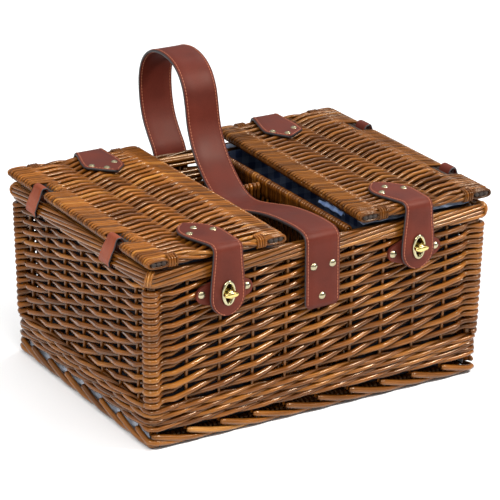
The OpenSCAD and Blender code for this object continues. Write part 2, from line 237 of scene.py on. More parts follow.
def node(tree, kind, values=None, **settings):
    made = tree.nodes.new(kind)
    for key, value in settings.items():
        setattr(made, key, value)
    for key, value in (values or {}).items():
        made.inputs[key].default_value = value
    return made


def link(tree, a, b):
    tree.links.new(a, b)


def ramp(tree, factor, stops):
    made = tree.nodes.new("ShaderNodeValToRGB")
    while len(made.color_ramp.elements) < len(stops):
        made.color_ramp.elements.new(0.5)
    for element, (place, colour) in zip(made.color_ramp.elements, stops):
        element.position = place
        element.color = (*colour, 1)
    link(tree, factor, made.inputs["Fac"])
    return made.outputs["Color"]


def plug(tree, value, socket):
    """Feeds a socket from another socket, a number or a colour."""
    if isinstance(value, bpy.types.NodeSocket):
        link(tree, value, socket)
    else:
        socket.default_value = value if isinstance(value, float) else (*value, 1)


def mixed(tree, factor, a, b, kind="MIX"):
    """Mixes colours a and b, which are sockets or colours, by factor, a socket or a number."""
    made = tree.nodes.new("ShaderNodeMix")
    made.data_type = "RGBA"
    made.blend_type = kind
    for value, socket in ((factor, made.inputs[0]), (a, made.inputs[6]), (b, made.inputs[7])):
        plug(tree, value, socket)
    return made.outputs[2]


def maths(tree, operation, *values):
    """The result of a maths node, from sockets or numbers."""
    made = node(tree, "ShaderNodeMath", operation=operation)
    for value, socket in zip(values, made.inputs):
        plug(tree, value, socket)
    return made.outputs[0]


def ranged(tree, value, start, stop, low, high):
    """Maps value from start..stop to low..high."""
    made = node(tree, "ShaderNodeMapRange",
                {"From Min": start, "From Max": stop, "To Min": low, "To Max": high})
    link(tree, value, made.inputs["Value"])
    return made.outputs["Result"]


def attribute(tree, name, output):
    made = tree.nodes.new("ShaderNodeAttribute")
    made.attribute_name = name
    return made.outputs[output]


def stretched(tree, vector, scale):
    made = node(tree, "ShaderNodeMapping", {"Scale": scale})
    link(tree, vector, made.inputs["Vector"])
    return made.outputs["Vector"]


def noise(tree, vector, scale, detail=3.0):
    made = node(tree, "ShaderNodeTexNoise", {"Scale": scale, "Detail": detail})
    link(tree, vector, made.inputs["Vector"])
    return made.outputs["Fac"]


def add_bump(tree, shader, height, strength, distance):
    made = node(tree, "ShaderNodeBump", {"Strength": strength, "Distance": distance})
    link(tree, height, made.inputs["Height"])
    link(tree, made.outputs["Normal"], shader.inputs["Normal"])


def willow(name, dark, main, pale, gloss, shine):
    """Stained and varnished willow: one tone a rod, fine streaks along it, and painted shade from the shade
    attribute, darker in the recesses.
    """
    mat, tree, shader = nodes_for(name)
    grain = attribute(tree, "grain", "Vector")
    fibre = noise(tree, stretched(tree, grain, (4.0, 4.0, 0.5)), 1.0, 4.0)
    blotch = noise(tree, stretched(tree, grain, (0.7, 0.7, 0.6)), 1.0, 2.0)
    tone = attribute(tree, "tone", "Fac")
    colour = ramp(tree, tone, [(0.0, dark), (0.55, main), (0.80, main), (1.0, pale)])
    stain = ramp(tree, blotch, [(0.3, (0.45, 0.40, 0.36)), (0.62, (1.0, 1.0, 1.0))])
    colour = mixed(tree, 0.75, colour, stain, "MULTIPLY")
    streak = ramp(tree, fibre, [(0.32, (0.62, 0.56, 0.50)), (0.60, (1.12, 1.12, 1.12))])
    colour = mixed(tree, 0.8, colour, streak, "MULTIPLY")
    # Painted shade: the shade attribute multiplies the colour down towards near black.
    shade = attribute(tree, "shade", "Fac")
    painted_shade = ramp(tree, shade, [(0.0, (0.16, 0.12, 0.10)), (1.0, (1, 1, 1))])
    link(tree, mixed(tree, 1.0, colour, painted_shade, "MULTIPLY"), shader.inputs["Base Color"])
    link(tree, ranged(tree, fibre, 0.3, 0.7, shine, shine + 0.14), shader.inputs["Roughness"])
    shader.inputs["Specular IOR Level"].default_value = gloss
    shader.inputs["Specular Tint"].default_value = (1.0, 0.77, 0.54, 1)
    add_bump(tree, shader, fibre, 0.22, 0.0004)
    return mat


def leather(name, colour, dark):
    """Smooth finished leather with a fine grain, a few soft blotches and a satin sheen."""
    mat, tree, shader = nodes_for(name)
    place = node(tree, "ShaderNodeTexCoord").outputs["Object"]
    blotch = noise(tree, place, 28.0, 4.0)
    fine = noise(tree, place, 900.0, 2.0)
    base = ramp(tree, blotch, [(0.32, dark), (0.66, colour)])
    speck = ramp(tree, fine, [(0.35, (0.86, 0.84, 0.84)), (0.65, (1.06, 1.05, 1.05))])
    link(tree, mixed(tree, 0.6, base, speck, "MULTIPLY"), shader.inputs["Base Color"])
    pores = node(tree, "ShaderNodeTexVoronoi", {"Scale": 1400.0}, feature="SMOOTH_F1")
    link(tree, place, pores.inputs["Vector"])
    link(tree, ranged(tree, blotch, 0.3, 0.7, 0.44, 0.56), shader.inputs["Roughness"])
    shader.inputs["Specular IOR Level"].default_value = 0.22
    shader.inputs["Specular Tint"].default_value = (1.0, 0.66, 0.54, 1)
    add_bump(tree, shader, pores.outputs["Distance"], 0.22, 0.0003)
    return mat


def plain(name, colour, other, roughness, scale=400.0, metallic=0.0, bump=0.1):
    """A quiet two-tone finish with fine noise in its colour, gloss and surface."""
    mat, tree, shader = nodes_for(name)
    place = node(tree, "ShaderNodeTexCoord").outputs["Object"]
    grain = noise(tree, place, scale, 3.0)
    link(tree, ramp(tree, grain, [(0.35, other), (0.65, colour)]), shader.inputs["Base Color"])
    rough = ranged(tree, grain, 0.3, 0.7, roughness * 0.8, roughness * 1.25)
    link(tree, rough, shader.inputs["Roughness"])
    shader.inputs["Metallic"].default_value = metallic
    add_bump(tree, shader, grain, bump, 0.0003)
    return mat


CHECK = 16 * MM


def cotton(name, blue, white, sheen=0.15):
    """Woven check: blue bands both ways over white, with a fine thread."""
    mat, tree, shader = nodes_for(name)
    place = node(tree, "ShaderNodeTexCoord").outputs["Object"]
    split = tree.nodes.new("ShaderNodeSeparateXYZ")
    link(tree, place, split.inputs["Vector"])
    total = 0.0
    for axis in ("X", "Y", "Z"):
        wave = maths(tree, "SINE", maths(tree, "MULTIPLY", split.outputs[axis], 2 * math.pi / CHECK))
        total = maths(tree, "ADD", total, ranged(tree, wave, -0.15, 0.15, 0.0, 0.5))
    share = maths(tree, "MULTIPLY", total, 0.62)
    thread = noise(tree, place, 1600.0, 1.0)
    colour = mixed(tree, share, white, blue)
    weave = ramp(tree, thread, [(0.3, (0.78, 0.78, 0.80)), (0.7, (1, 1, 1))])
    link(tree, mixed(tree, 0.7, colour, weave, "MULTIPLY"), shader.inputs["Base Color"])
    shader.inputs["Roughness"].default_value = 0.9
    shader.inputs["Sheen Weight"].default_value = sheen
    shader.inputs["Specular IOR Level"].default_value = 0.1
    add_bump(tree, shader, thread, 0.3, 0.0004)
    return mat


WICKER = willow("wicker_wall", (0.12, 0.035, 0.005), (0.225, 0.070, 0.008), (0.31, 0.110, 0.014),
                gloss=0.62, shine=0.12)
RIM_WICKER = willow("wicker_rim", (0.13, 0.040, 0.006), (0.265, 0.089, 0.011), (0.44, 0.19, 0.040),
                    gloss=0.60, shine=0.12)
LID_WICKER = {
    "left": willow("wicker_lid_left", (0.13, 0.040, 0.007), (0.30, 0.098, 0.012), (0.43, 0.17, 0.028),
                   gloss=0.32, shine=0.14),
    "right": willow("wicker_lid_right", (0.102, 0.033, 0.006), (0.212, 0.071, 0.010),
                    (0.30, 0.116, 0.023), gloss=0.26, shine=0.15),
}
CUT_END = plain("cut_stick_ends", (0.045, 0.024, 0.014), (0.012, 0.008, 0.005), 0.8, 700.0, bump=0.5)
LEATHER = leather("leather_brown", (0.119, 0.0215, 0.0120), (0.076, 0.0130, 0.0078))
HANDLE_LEATHER = leather("leather_handle", (0.099, 0.0160, 0.0090), (0.070, 0.0110, 0.0064))
LOOP_LEATHER = leather("leather_loop", (0.260, 0.060, 0.025), (0.180, 0.036, 0.015))
EDGE_PAINT = plain("leather_edge_paint", (0.030, 0.024, 0.024), (0.016, 0.013, 0.014), 0.5, 500.0)
THREAD = plain("waxed_thread", (0.40, 0.13, 0.06), (0.28, 0.075, 0.03), 0.6, 2500.0, bump=0.3)
BRASS = plain("pale_brass", (0.42, 0.37, 0.24), (0.34, 0.29, 0.17), 0.22, 300.0, metallic=1.0, bump=0.02)
BEZEL = plain("bezel_brass", (0.46, 0.42, 0.26), (0.36, 0.32, 0.18), 0.20, 300.0, metallic=1.0, bump=0.02)
GOLD = plain("yellow_brass", (0.74, 0.58, 0.22), (0.62, 0.47, 0.15), 0.18, 300.0, metallic=1.0, bump=0.02)
# The check in light and painted shade: its real blue and white darkened as painted shade inside the
# compartments, the edge and fold copies lighter where the cloth is lit, and a near black back as painted
# shade behind the wicker.
COTTON = cotton("cotton_check", (0.009, 0.020, 0.066), (0.13, 0.165, 0.24), 0.02)
COTTON_EDGE = cotton("cotton_edge", (0.09, 0.16, 0.34), (0.55, 0.62, 0.75))
COTTON_FOLD = cotton("cotton_fold", (0.030, 0.075, 0.22), (0.27, 0.38, 0.62))
# Painted light: a pale copy of the check standing in for the lit floor seen through the foot.
FLOOR_LIGHT_CLOTH = cotton("cloth_painted_floor_light", (0.42, 0.50, 0.66), (0.86, 0.90, 0.97))
COTTON_PAINTED_SHADE = cotton("cotton_check_painted_shade", (0.006, 0.008, 0.012), (0.022, 0.027, 0.038), 0.0)

# ---------------------------------------------------------------- walls


def wall_middle(z):
    """Half the basket's width and depth at the middle of the wall's thickness, at height z."""
    lean = LEAN * (1 - z / RIM_Z1)
    return HALF_X - RIM_OVER - lean - WALL_T / 2, HALF_Y - RIM_OVER - lean - WALL_T / 2


# The four walls in turn: direction along the wall, outward direction, stakes along it
WALLS = [(X, -Y, FRONT_STAKES), (Y, X, SIDE_STAKES), (-X, Y, FRONT_STAKES), (-Y, -X, SIDE_STAKES)]
CORNER_R = 3 * MM
CORNER_OUT = 4.6 * MM
SWING = 3.7 * MM
STAKE_R = 1.8 * MM
LEVELS = 21
ROD_R = (3.35 * MM, 2.75 * MM)
STOPS = [(i, u) for i, (_, _, places) in enumerate(WALLS) for u in [*places, None]]


def level_heights():
    """Heights of the wall's rows from the bottom up, looser low down where the rods are thick."""
    low, high = WALL_LOW[2] + 2.6 * MM, WALL_HIGH[2] - 2.4 * MM
    gaps = np.linspace(1.36, 1.0, LEVELS - 1)
    return low + np.concatenate([[0], np.cumsum(gaps)]) * (high - low) / gaps.sum()


def run_along(wall, a, b, off_a, off_b, z_a, z_b):
    """Part of a weaver along one wall. a or b is None at a corner, where the weaver first bows in."""
    along, out, _ = WALLS[wall]
    t = np.arange(12) / 12
    z = z_a + (z_b - z_a) * t
    half = np.array([wall_middle(h)[::1 if wall % 2 == 0 else -1] for h in z])
    end = half[:, 0] - CORNER_R
    a = -end if a is None else a
    b_is_corner = b is None
    b = end if b is None else b
    u = a + (b - a) * t
    ease = 0.6 * t + 0.2 * (1 - np.cos(np.pi * t))
    off = off_a + (off_b - off_a) * ease
    from_corner = (end - u if b_is_corner else u + end) / (19 * MM)
    if b_is_corner or np.ndim(a):
        off = off - 4.6 * MM * np.sin(np.pi * np.clip(from_corner, 0, 1))
    return along * u[:, None] + out * (half[:, 1] + off)[:, None] + Z * z[:, None], off


def turn_corner(wall, z):
    """Part of a weaver round the post at the end of a wall."""
    along, out, _ = WALLS[wall]
    long, far = wall_middle(z)[::1 if wall % 2 == 0 else -1]
    turn = np.pi / 2 * (np.arange(0, 6) / 6)[:, None]
    centre = along * (long - CORNER_R) + out * (far - CORNER_R)
    arc = centre + (out * np.cos(turn) + along * np.sin(turn)) * (CORNER_R + CORNER_OUT)
    return arc + Z * z, np.full(6, CORNER_OUT)


def weaver(first, heights):
    """A weaver that starts at one stake and climbs a row at each: outside it, then inside the next."""
    parts = []
    for level in range(len(heights) - 1):
        wall, a = STOPS[(first + level) % len(STOPS)]
        next_wall, b = STOPS[(first + level + 1) % len(STOPS)]
        off_a, off_b = (CORNER_OUT if u is None else -SWING * (-1) ** k
                        for u, k in ((a, level), (b, level + 1)))
        if a is None:
            parts.append(turn_corner(wall, heights[level]))
        parts.append(run_along(next_wall if a is None else wall, a, b, off_a, off_b,
                               heights[level], heights[level + 1]))
    return [np.concatenate(column) for column in zip(*parts)]


def outward_up(path, lift=0.55):
    """Mostly outwards from the basket's middle, and a little up: the lit side, which the painted shade leaves
    bright.
    """
    flat = path * (1 / HALF_X, 1 / HALF_Y, 0)
    side = np.where(np.abs(flat) >= np.abs(flat).max(axis=1, keepdims=True), np.sign(flat), 0)
    return unit(side + Z * lift)


def woven_walls():
    rods = Rods(9)
    heights = level_heights()
    for first in range(len(STOPS)):
        path, off = weaver(first, heights)
        n = len(path)
        s = np.linspace(0, 1, n)
        wave = chance.random(2) * 6.28
        path[:, 2] += 0.3 * MM * (np.sin(41 * s + wave[0]) + np.sin(97 * s + wave[1]))
        size = np.interp(s, [0, 1], ROD_R) * (0.93 + 0.12 * chance.random())
        size = size * np.interp(off, [SWING, CORNER_OUT], [0.90, 1.06])
        # Painted shade: a weaver is darker where it passes inside the stakes.
        shade = np.clip(0.72 + 0.42 * off / SWING, 0.1, 1)
        rods.add(path, size, Z, shade=shade, face=outward_up(path))
    nodes = ["wall_front", "wall_back", "wall_left", "wall_right"]
    give(rods.build("woven_walls"), "root", WICKER, nodes)


def stakes():
    """The upright sticks that the walls are woven on, and the thick pair in each corner."""
    rods = Rods(8)
    z = np.linspace(14 * MM, RIM_Z0 + 6 * MM, 14)
    half = np.array([wall_middle(h) for h in z])
    for i, (along, out, places) in enumerate(WALLS):
        far = half[:, 1] if i % 2 == 0 else half[:, 0]
        for place in places:
            bend = 0.5 * MM * np.sin(z / 0.05 + chance.random() * 6)
            path = along * (place + bend)[:, None] + out * far[:, None] + Z * z[:, None]
            # A flat painted shade on the stakes, which stand behind the weavers.
            rods.add(path, STAKE_R, along, tone=0.2 + 0.5 * chance.random(), shade=0.7)
    for corner in CORNERS:
        for inset, radius in ((CORNER_R, 4.6 * MM), (8.7 * MM, 3.8 * MM)):
            path = np.column_stack([(half - inset) * corner, z])
            # A deeper flat painted shade on the corner posts.
            rods.add(path, radius, X, tone=0.3, shade=0.5)
    give(rods.build("wall_stakes"), "root", WICKER,
         [f"corner_post_{e}_{s}" for e in ENDS for s in SIDES])


def packing_rods():
    """Short rods laid behind the back wall's rows in the open centre compartment."""
    rods = Rods(7)
    levels = level_heights()
    end = min(abs(corners("partition_right")[0][0]), abs(corners("partition_left")[1][0])) - 0.5 * MM
    for z in (levels[:-1] + levels[1:]) / 2:
        x = np.linspace(-end, end, 16)
        y = wall_middle(z)[1] - SWING - 2.2 * MM + 0.4 * MM * np.sin(x / 0.012 + chance.random() * 6)
        # A flat painted shade on these rods behind the wall.
        rods.add(np.column_stack([x, y, np.full(16, z)]), 2.3 * MM, Z, tone=0.5 * chance.random(), shade=0.45)
    give(rods.build("packing_rods"), "root", WICKER)


def around(s, half_x, half_y, r):
    """Points and outward directions at distances s round a rectangle with rounded corners,
    counted from the middle of the front towards the right."""
    long_x, long_y, arc = 2 * (half_x - r), 2 * (half_y - r), np.pi / 2 * r
    s = np.asarray(s, float) + long_x / 2
    s = np.mod(s, 2 * (long_x + long_y) + 4 * arc)
    point, out = np.zeros((len(s), 3)), np.zeros((len(s), 3))
    start = 0.0
    for i, (along, face, _) in enumerate(WALLS):
        long, far = (long_x, half_y) if i % 2 == 0 else (long_y, half_x)
        on = (s >= start) & (s < start + long)
        point[on] = along * (s[on] - start - long / 2)[:, None] + face * far
        out[on] = face
        start += long
        bend = (s >= start) & (s < start + arc)
        turn = ((s[bend] - start) / r)[:, None]
        out[bend] = face * np.cos(turn) + along * np.sin(turn)
        point[bend] = along * long / 2 + face * (far - r) + out[bend] * r
        start += arc
    return point, out


def ring_places(half_x, half_y, r):
    """Distances of all stakes and corners round such a rectangle, and its whole length."""
    long_x, long_y, arc = 2 * (half_x - r), 2 * (half_y - r), np.pi / 2 * r
    places, start = [], -long_x / 2
    for i, (_, _, stakes_here) in enumerate(WALLS):
        long = long_x if i % 2 == 0 else long_y
        places += [start + long / 2 + u for u in stakes_here] + [start + long + arc / 2]
        start += long + arc
    return np.array(places), 2 * (long_x + long_y) + 4 * arc


def waling():
    """The heavy band above the foot: rows of three strands, each outside two stakes and inside one."""
    rods = Rods(8)
    rows = 4
    for row in range(rows):
        z = BAND_TOP - 3.2 * MM - row * 6.3 * MM
        half_x, half_y = wall_middle(z)
        places, length = ring_places(half_x, half_y, CORNER_R)
        s = np.arange(0, length, 4 * MM)
        for strand in range(3):
            turns = round(length / (3 * STAKE_GAP))
            angle = 2 * np.pi * (s / length * turns + strand / 3 + 0.17 * row)
            off = 1.6 * MM + 3.6 * MM * np.cos(angle)
            point, out = around(s, half_x, half_y, CORNER_R)
            path = point + out * off[:, None] + Z * (z + 1.9 * MM * np.sin(angle))[:, None]
            # Painted shade: each strand is darker where it passes inside.
            shade = np.clip(0.6 + 0.4 * np.cos(angle), 0.1, 1)
            rods.add(path, 2.35 * MM * (0.95 + 0.1 * chance.random()), Z, shade=shade, closed=True,
                     face=outward_up(path))
    give(rods.build("waling_strands"), "root", WICKER, ["waling_band"])


EDGE_R = 2 * MM


def border(name, half_x, half_y, heights, outs, reach, radius, material, replaced):
    """A rolled border: a rod leaves each stake, runs on along the edge over its neighbours,
    and tucks in. heights and outs are given at even steps of its run."""
    rods = Rods(9)
    places, _ = ring_places(half_x, half_y, EDGE_R)
    t = np.linspace(0, 1, round(reach / (2.6 * MM)))
    at = np.linspace(0, 1, len(heights))
    height = spline(np.column_stack([at, heights]), 12)
    outward = spline(np.column_stack([at, outs]), 12)
    for place in places:
        point, out = around(place + reach * t, half_x, half_y, EDGE_R)
        h = np.interp(t, height[:, 0], height[:, 1])
        o = np.interp(t, outward[:, 0], outward[:, 1])
        path = point + out * o[:, None] + Z * h[:, None]
        taper = np.interp(t, [0, 0.02, 0.25, 0.8, 1], [0.8, 1.12, 1.1, 0.88, 0.6])
        # Painted shade: darker where the rod tucks in at its end.
        shade = np.interp(t, [0, 0.1, 0.85, 1], [0.8, 1, 1, 0.4])
        size = radius * (0.94 + 0.12 * chance.random()) * taper
        rods.add(path, size, Z, shade=shade, face=outward_up(path))
    give(rods.build(name), "root", material, replaced)


def borders():
    inset = 6 * MM
    rise = RIM_Z1 - RIM_Z0
    border("rim_border", HALF_X - inset, HALF_Y - inset,
           RIM_Z0 + rise * np.array([0.04, 0.16, 0.36, 0.58, 0.78, 0.87, 0.72]),
           np.array([2.0, 3.8, 4.0, 4.0, 3.6, 1.0, -3.2]) * MM, 4.7 * STAKE_GAP, 2.1 * MM, RIM_WICKER,
           [f"rim_{e}" for e in ("front", "back", "left", "right")])
    border("foot_rods", FOOT_HIGH[0] - inset, FOOT_HIGH[1] - inset,
           np.array([14.5, 11.0, 7.8, 5.6, 4.2, 3.1, 3.0]) * MM,
           np.array([2.6, 3.0, 3.1, 2.8, 1.0, -1.4, -3.0]) * MM, 2.2 * STAKE_GAP, 2.9 * MM, RIM_WICKER,
           ["foot_border"])


def rim_filling():
    """The rods on the inner side of the top border, which close it against the lining."""
    rods = Rods(8)
    for inset, z, radius in ((9.5, 4.6, 2.4), (13.5, 5.6, 2.3), (9.5, 9.5, 2.4), (12.5, 11.5, 2.2)):
        half_x, half_y = HALF_X - inset * MM, HALF_Y - inset * MM
        s = np.arange(0, ring_places(half_x, half_y, EDGE_R)[1], 4 * MM)
        point, out = around(s, half_x, half_y, EDGE_R)
        path = point + out * (0.6 * MM * np.sin(s / 0.021))[:, None] + Z * (RIM_Z1 - z * MM)
        # A flat painted shade on these inner rods under the border.
        rods.add(path, radius * MM, Z, shade=0.6, closed=True)
    for sx, sy in CORNERS:
        corner_binding(rods, sx, sy)
    give(rods.build("rim_filling"), "root", RIM_WICKER)


def corner_binding(rods, sx, sy):
    """Three pale turns of cane round the top border at one corner."""
    way, side = unit(np.array([sx, sy, 0.0])), unit(np.array([-sy, sx, 0.0]))
    centre = np.array([sx * (HALF_X - 7.2 * MM), sy * (HALF_Y - 7.2 * MM), (RIM_Z0 + RIM_Z1) / 2])
    q = circle(20)
    for turn in (-1, 0, 1):
        ring = centre + way * (6.6 * MM * np.cos(q))[:, None] + Z * (7.2 * MM * np.sin(q))[:, None]
        ring += side * (turn * 2.6 * MM + 1.2 * MM * np.sin(q))[:, None]
        rods.add(ring, 1.35 * MM, side, tone=0.95 - 0.2 * abs(turn), closed=True)


# ---------------------------------------------------------------- mats: lids, base, partitions


def mat_profile(a, b, sticks, parity, flat, swing, wrap_a, wrap_b):
    """A weaver's path across a mat, as (along, height): round the edge at a, over and under the
    sticks, and round the edge at b. wrap_a and wrap_b are how wide the wrapped edges are."""
    way = np.sign(b - a)
    turn = np.linspace(-np.pi / 2, np.pi / 2, 9)[1:-1]
    keys = [a + way * wrap_a, *sticks, b - way * wrap_b]
    heights = [flat] + [swing * (-1) ** (parity + i) for i in range(len(sticks))] + [flat]
    u, h = eased(keys, heights, 3.0 * MM)
    under_a = np.linspace(a + way * wrap_a, a + way * flat, 5)
    under_b = np.linspace(b - way * wrap_b, b - way * flat, 5)
    first = [(p, -flat) for p in under_a]
    first += [(a + way * flat * (1 - math.cos(q)), flat * math.sin(q)) for q in turn]
    first += [(p, flat) for p in under_a[::-1][:-1]]
    last = [(p, flat) for p in under_b[1:]]
    last += [(b - way * flat * (1 - math.cos(q)), -flat * math.sin(q)) for q in turn]
    last += [(p, -flat) for p in under_b[::-1]]
    path = first + list(zip(u, h)) + last
    where = [0.0] * len(first) + [1.0] * len(u) + [2.0] * len(last)
    return np.array(path), np.array(where)


LID_ROD_R = 2.35 * MM
LID_PITCH = 5.0 * MM
LID_SWING = 3.7 * MM
WRAP_FLAT = 3.6 * MM
WRAP_THICK = 1.7 * MM
WRAP_HALF = 1.85 * MM
LOOP_HALF = 15.2 * MM
LOOP_CUT = 15.4 * MM


def lid_slant(y, half, far):
    """How far a weaver runs aslant, far in the lid's middle and nothing at its ends."""
    return far * np.clip((half - np.abs(y)) / (60 * MM), 0, 1)


class LidPlan:
    """Where a lid's edges lie, from its two CAD rails. x is counted outwards from the middle."""

    def __init__(self, side):
        outer_low, outer_high = corners(f"lid_{side}_outer_rail")
        inner_low, inner_high = corners(f"lid_{side}_inner_rail")
        self.side, self.sign = side, SIDES[side]
        self.z = (outer_low[2] + outer_high[2]) / 2
        self.half = outer_high[1]
        self.outer = max(abs(outer_low[0]), abs(outer_high[0]))
        self.wide = abs(outer_high[0] - outer_low[0])
        self.near = min(abs(inner_low[0]), abs(inner_high[0]))
        self.skew = abs(inner_high[0] - inner_low[0]) - self.wide
        self.loops = [middle(f"hinge_loop_{side}_{end}")[1] for end in ENDS]

    def inner_edge(self, y):
        return self.near + self.skew * (y / self.half + 1) / 2

    def sticks_at(self, y):
        first, last = self.outer - self.wide / 2, self.inner_edge(y) + self.wide / 2
        return [first + (last - first) * i / 4 for i in (1, 2, 3)]


def lid(side):
    plan, rods = LidPlan(side), Rods(8)
    span = 2 * (plan.half - 6 * MM)
    count = round(span / LID_PITCH)
    for k in range(count):
        lid_weaver(rods, plan, k, -plan.half + 6 * MM + (k + 0.5) * span / count)
    end_wraps(rods, plan)
    y = np.linspace(-plan.half + 3 * MM, plan.half - 3 * MM, 40)
    for place in range(3):
        x = np.array([plan.sticks_at(v)[place] for v in y])
        # A flat painted shade on the sticks under the weavers.
        rods.add(np.column_stack([plan.sign * x, y, np.full(40, plan.z)]), 1.6 * MM, X, tone=0.3, shade=0.5)
    edge_rods(rods, plan)
    give(rods.build(f"lid_{side}_weave"), f"lid_{side}", LID_WICKER[side],
         [f"lid_{side}_panel", f"lid_{side}_bindings"])
    lid_bundles(plan)


def lid_weaver(rods, plan, k, y):
    """One weaver of a lid: round the hinge bundle, over and under the sticks, round the inner bundle."""
    sign, outer, wide = plan.sign, plan.outer, plan.wide
    climb = -sign * lid_slant(y, plan.half, 2 * LID_PITCH)
    sweep = -sign * lid_slant(y, plan.half, 9 * MM)
    at_loop = any(abs(y - climb + 0.6 * sweep - loop) < LOOP_HALF for loop in plan.loops)
    cut = LOOP_CUT if at_loop else 0
    a, b = outer - WRAP_THICK - cut, plan.inner_edge(y) + WRAP_THICK
    wrap = wide - WRAP_THICK - 4 * MM
    path, where = mat_profile(a, b, plan.sticks_at(y), k, WRAP_FLAT, LID_SWING, wrap - cut, wrap)
    u, h = path[:, 0], path[:, 1]
    on_outer = np.clip((u - (outer - wide)) / wide, 0, 1)
    on_inner = np.clip((b + wrap - u) / wide, 0, 1)
    across = np.clip((outer - wide - u) / (outer - wide - plan.inner_edge(y) - wide), 0, 1)
    fold = np.where(h < 0, 0.3, 1.0)
    points = np.zeros((len(path), 3))
    points[:, 0] = sign * u
    points[:, 1] = y + climb * (2 * across - 1) + sweep * fold * (on_outer - on_inner)
    points[:, 1] += 0.25 * MM * np.sin(u / 0.017 + chance.random() * 6)
    points[:, 2] = plan.z + h
    woven = where == 1
    thick = np.where(woven, LID_ROD_R, WRAP_THICK)
    width = np.where(woven, LID_ROD_R, WRAP_HALF) * (0.96 + 0.1 * chance.random())
    # Painted shade: darker where the weaver dips under the sticks; face turns the wraps' painted shade to
    # their sides.
    shade = np.clip(0.64 + 0.5 * h / LID_SWING, 0.06, 1)
    aside = sign * np.where(where == 0, 1, -1)[:, None] * X + Z
    face = np.where(woven[:, None], Z, unit(aside))
    rods.add(points, width, Y, shade=shade, thick=thick, face=face)


def squared(value, power):
    """Bends a sine or cosine towards a square, which keeps a wrap close to its bundle."""
    return np.sign(value) * np.abs(value) ** power


def end_wraps(rods, plan):
    """The last turns round each bundle, at its two ends."""
    q = circle(28)
    x = (plan.wide / 2 - WRAP_THICK) * squared(np.cos(q), 0.75)
    h = WRAP_FLAT * squared(np.sin(q), 0.75)
    face = unit(np.column_stack([plan.sign * x, np.zeros(len(x)), 3 * MM + 2.5 * h]))
    for end in (-1, 1):
        for turn in range(2):
            y = end * (plan.half - (1.6 + 3.7 * turn) * MM)
            for centre in (plan.outer - plan.wide / 2, plan.inner_edge(y) + plan.wide / 2):
                ring = np.column_stack([plan.sign * (centre + x), y + 0.3 * MM * np.sin(h / MM + turn),
                                        plan.z + h])
                # A light painted shade, more on the sides turned away from face.
                rods.add(ring, 1.8 * MM, Y, thick=1.5 * MM, shade=0.8, closed=True, face=face)


def edge_rods(rods, plan):
    """The twisted thick rods along a lid's front and back, bound down with cane near each end."""
    sign, z, outer_x = plan.sign, plan.z, plan.outer - plan.wide
    q = circle(20)
    for end in (-1, 1):
        y = end * (plan.half - 3.2 * MM)
        inner_x = plan.inner_edge(y) + plan.wide
        x = np.linspace(outer_x + 2 * MM, inner_x - 2 * MM, 40)
        for strand in range(3):
            angle = 2 * np.pi * ((x - outer_x) / (70 * MM) + strand / 3)
            path = np.column_stack([sign * x, y + end * 0.9 * MM * np.cos(angle),
                                    z + 2.6 * MM * np.sin(angle)])
            # Painted shade: each strand is darker where it twists under the others.
            rods.add(path, 2.1 * MM, Y, shade=np.clip(0.7 + 0.4 * np.cos(angle), 0.2, 1),
                     face=unit(Z - 0.5 * Y))
        for place in (outer_x - 3.5 * MM, inner_x + 3.5 * MM):
            for turn in range(4):
                x_turn = place + (turn - 1.5) * 2.7 * MM + 0.4 * MM * np.sin(q)
                loop = np.column_stack([sign * x_turn, end * (plan.half - 6.2 * MM) + 6.4 * MM * np.cos(q),
                                        z + 5.4 * MM * squared(np.sin(q), 0.6)])
                # A light painted shade on the cane bindings.
                rods.add(loop, 1.15 * MM, X, tone=0.6 * chance.random(), shade=0.8, closed=True)


def lid_bundles(plan):
    """The sticks inside a lid's two wrapped edges, whose cut ends show, and the bare hinge rod."""
    y = np.linspace(-plan.half + 0.4 * MM, plan.half - 0.4 * MM, 24)
    for name, edge, way in (("outer", np.full(24, plan.outer), -1), ("inner", plan.inner_edge(y), 1)):
        rods = Rods(10)
        for i in (-1, 0, 1):
            x = edge + way * (plan.wide / 2 + i * 5.6 * MM)
            path = np.column_stack([plan.sign * x, y, np.full(24, plan.z)])
            rods.add(path, 2.4 * MM, Z, tone=0.2, shade=0.35, thick=2.5 * MM)
        give(rods.build(f"lid_{plan.side}_{name}_sticks"), f"lid_{plan.side}", CUT_END,
             [f"lid_{plan.side}_{name}_rail"])


def base():
    """The woven bottom, with its sticks along X and weavers from front to back."""
    low, high = corners("base_panel")
    rods = Rods(7)
    z, half_x, half_y = (low[2] + high[2]) / 2, high[0], high[1]
    rows = round(2 * half_x / (5.2 * MM))
    sticks = [half_y * f for f in (0.78, 0.52, 0.26, 0, -0.26, -0.52, -0.78)]
    for k in range(rows):
        x = -half_x + (k + 0.5) * 2 * half_x / rows
        path, _ = mat_profile(half_y - 1.6 * MM, 1.6 * MM - half_y, sticks, k,
                              flat=2.7 * MM, swing=2.7 * MM, wrap_a=12 * MM, wrap_b=12 * MM)
        points = np.column_stack([np.full(len(path), x), path[:, 0], z + path[:, 1]])
        # A flat painted shade on the bottom's weavers and sticks.
        rods.add(points, 2.3 * MM, X, shade=0.55, thick=2.0 * MM)
    for y in [*sticks, half_y - 5 * MM, 5 * MM - half_y]:
        rods.add([(-half_x, y, z), (0, y, z), (half_x, y, z)], 1.2 * MM, Y, tone=0.3, shade=0.5)
    give(rods.build("base_weave"), "root", WICKER, ["base_panel"])


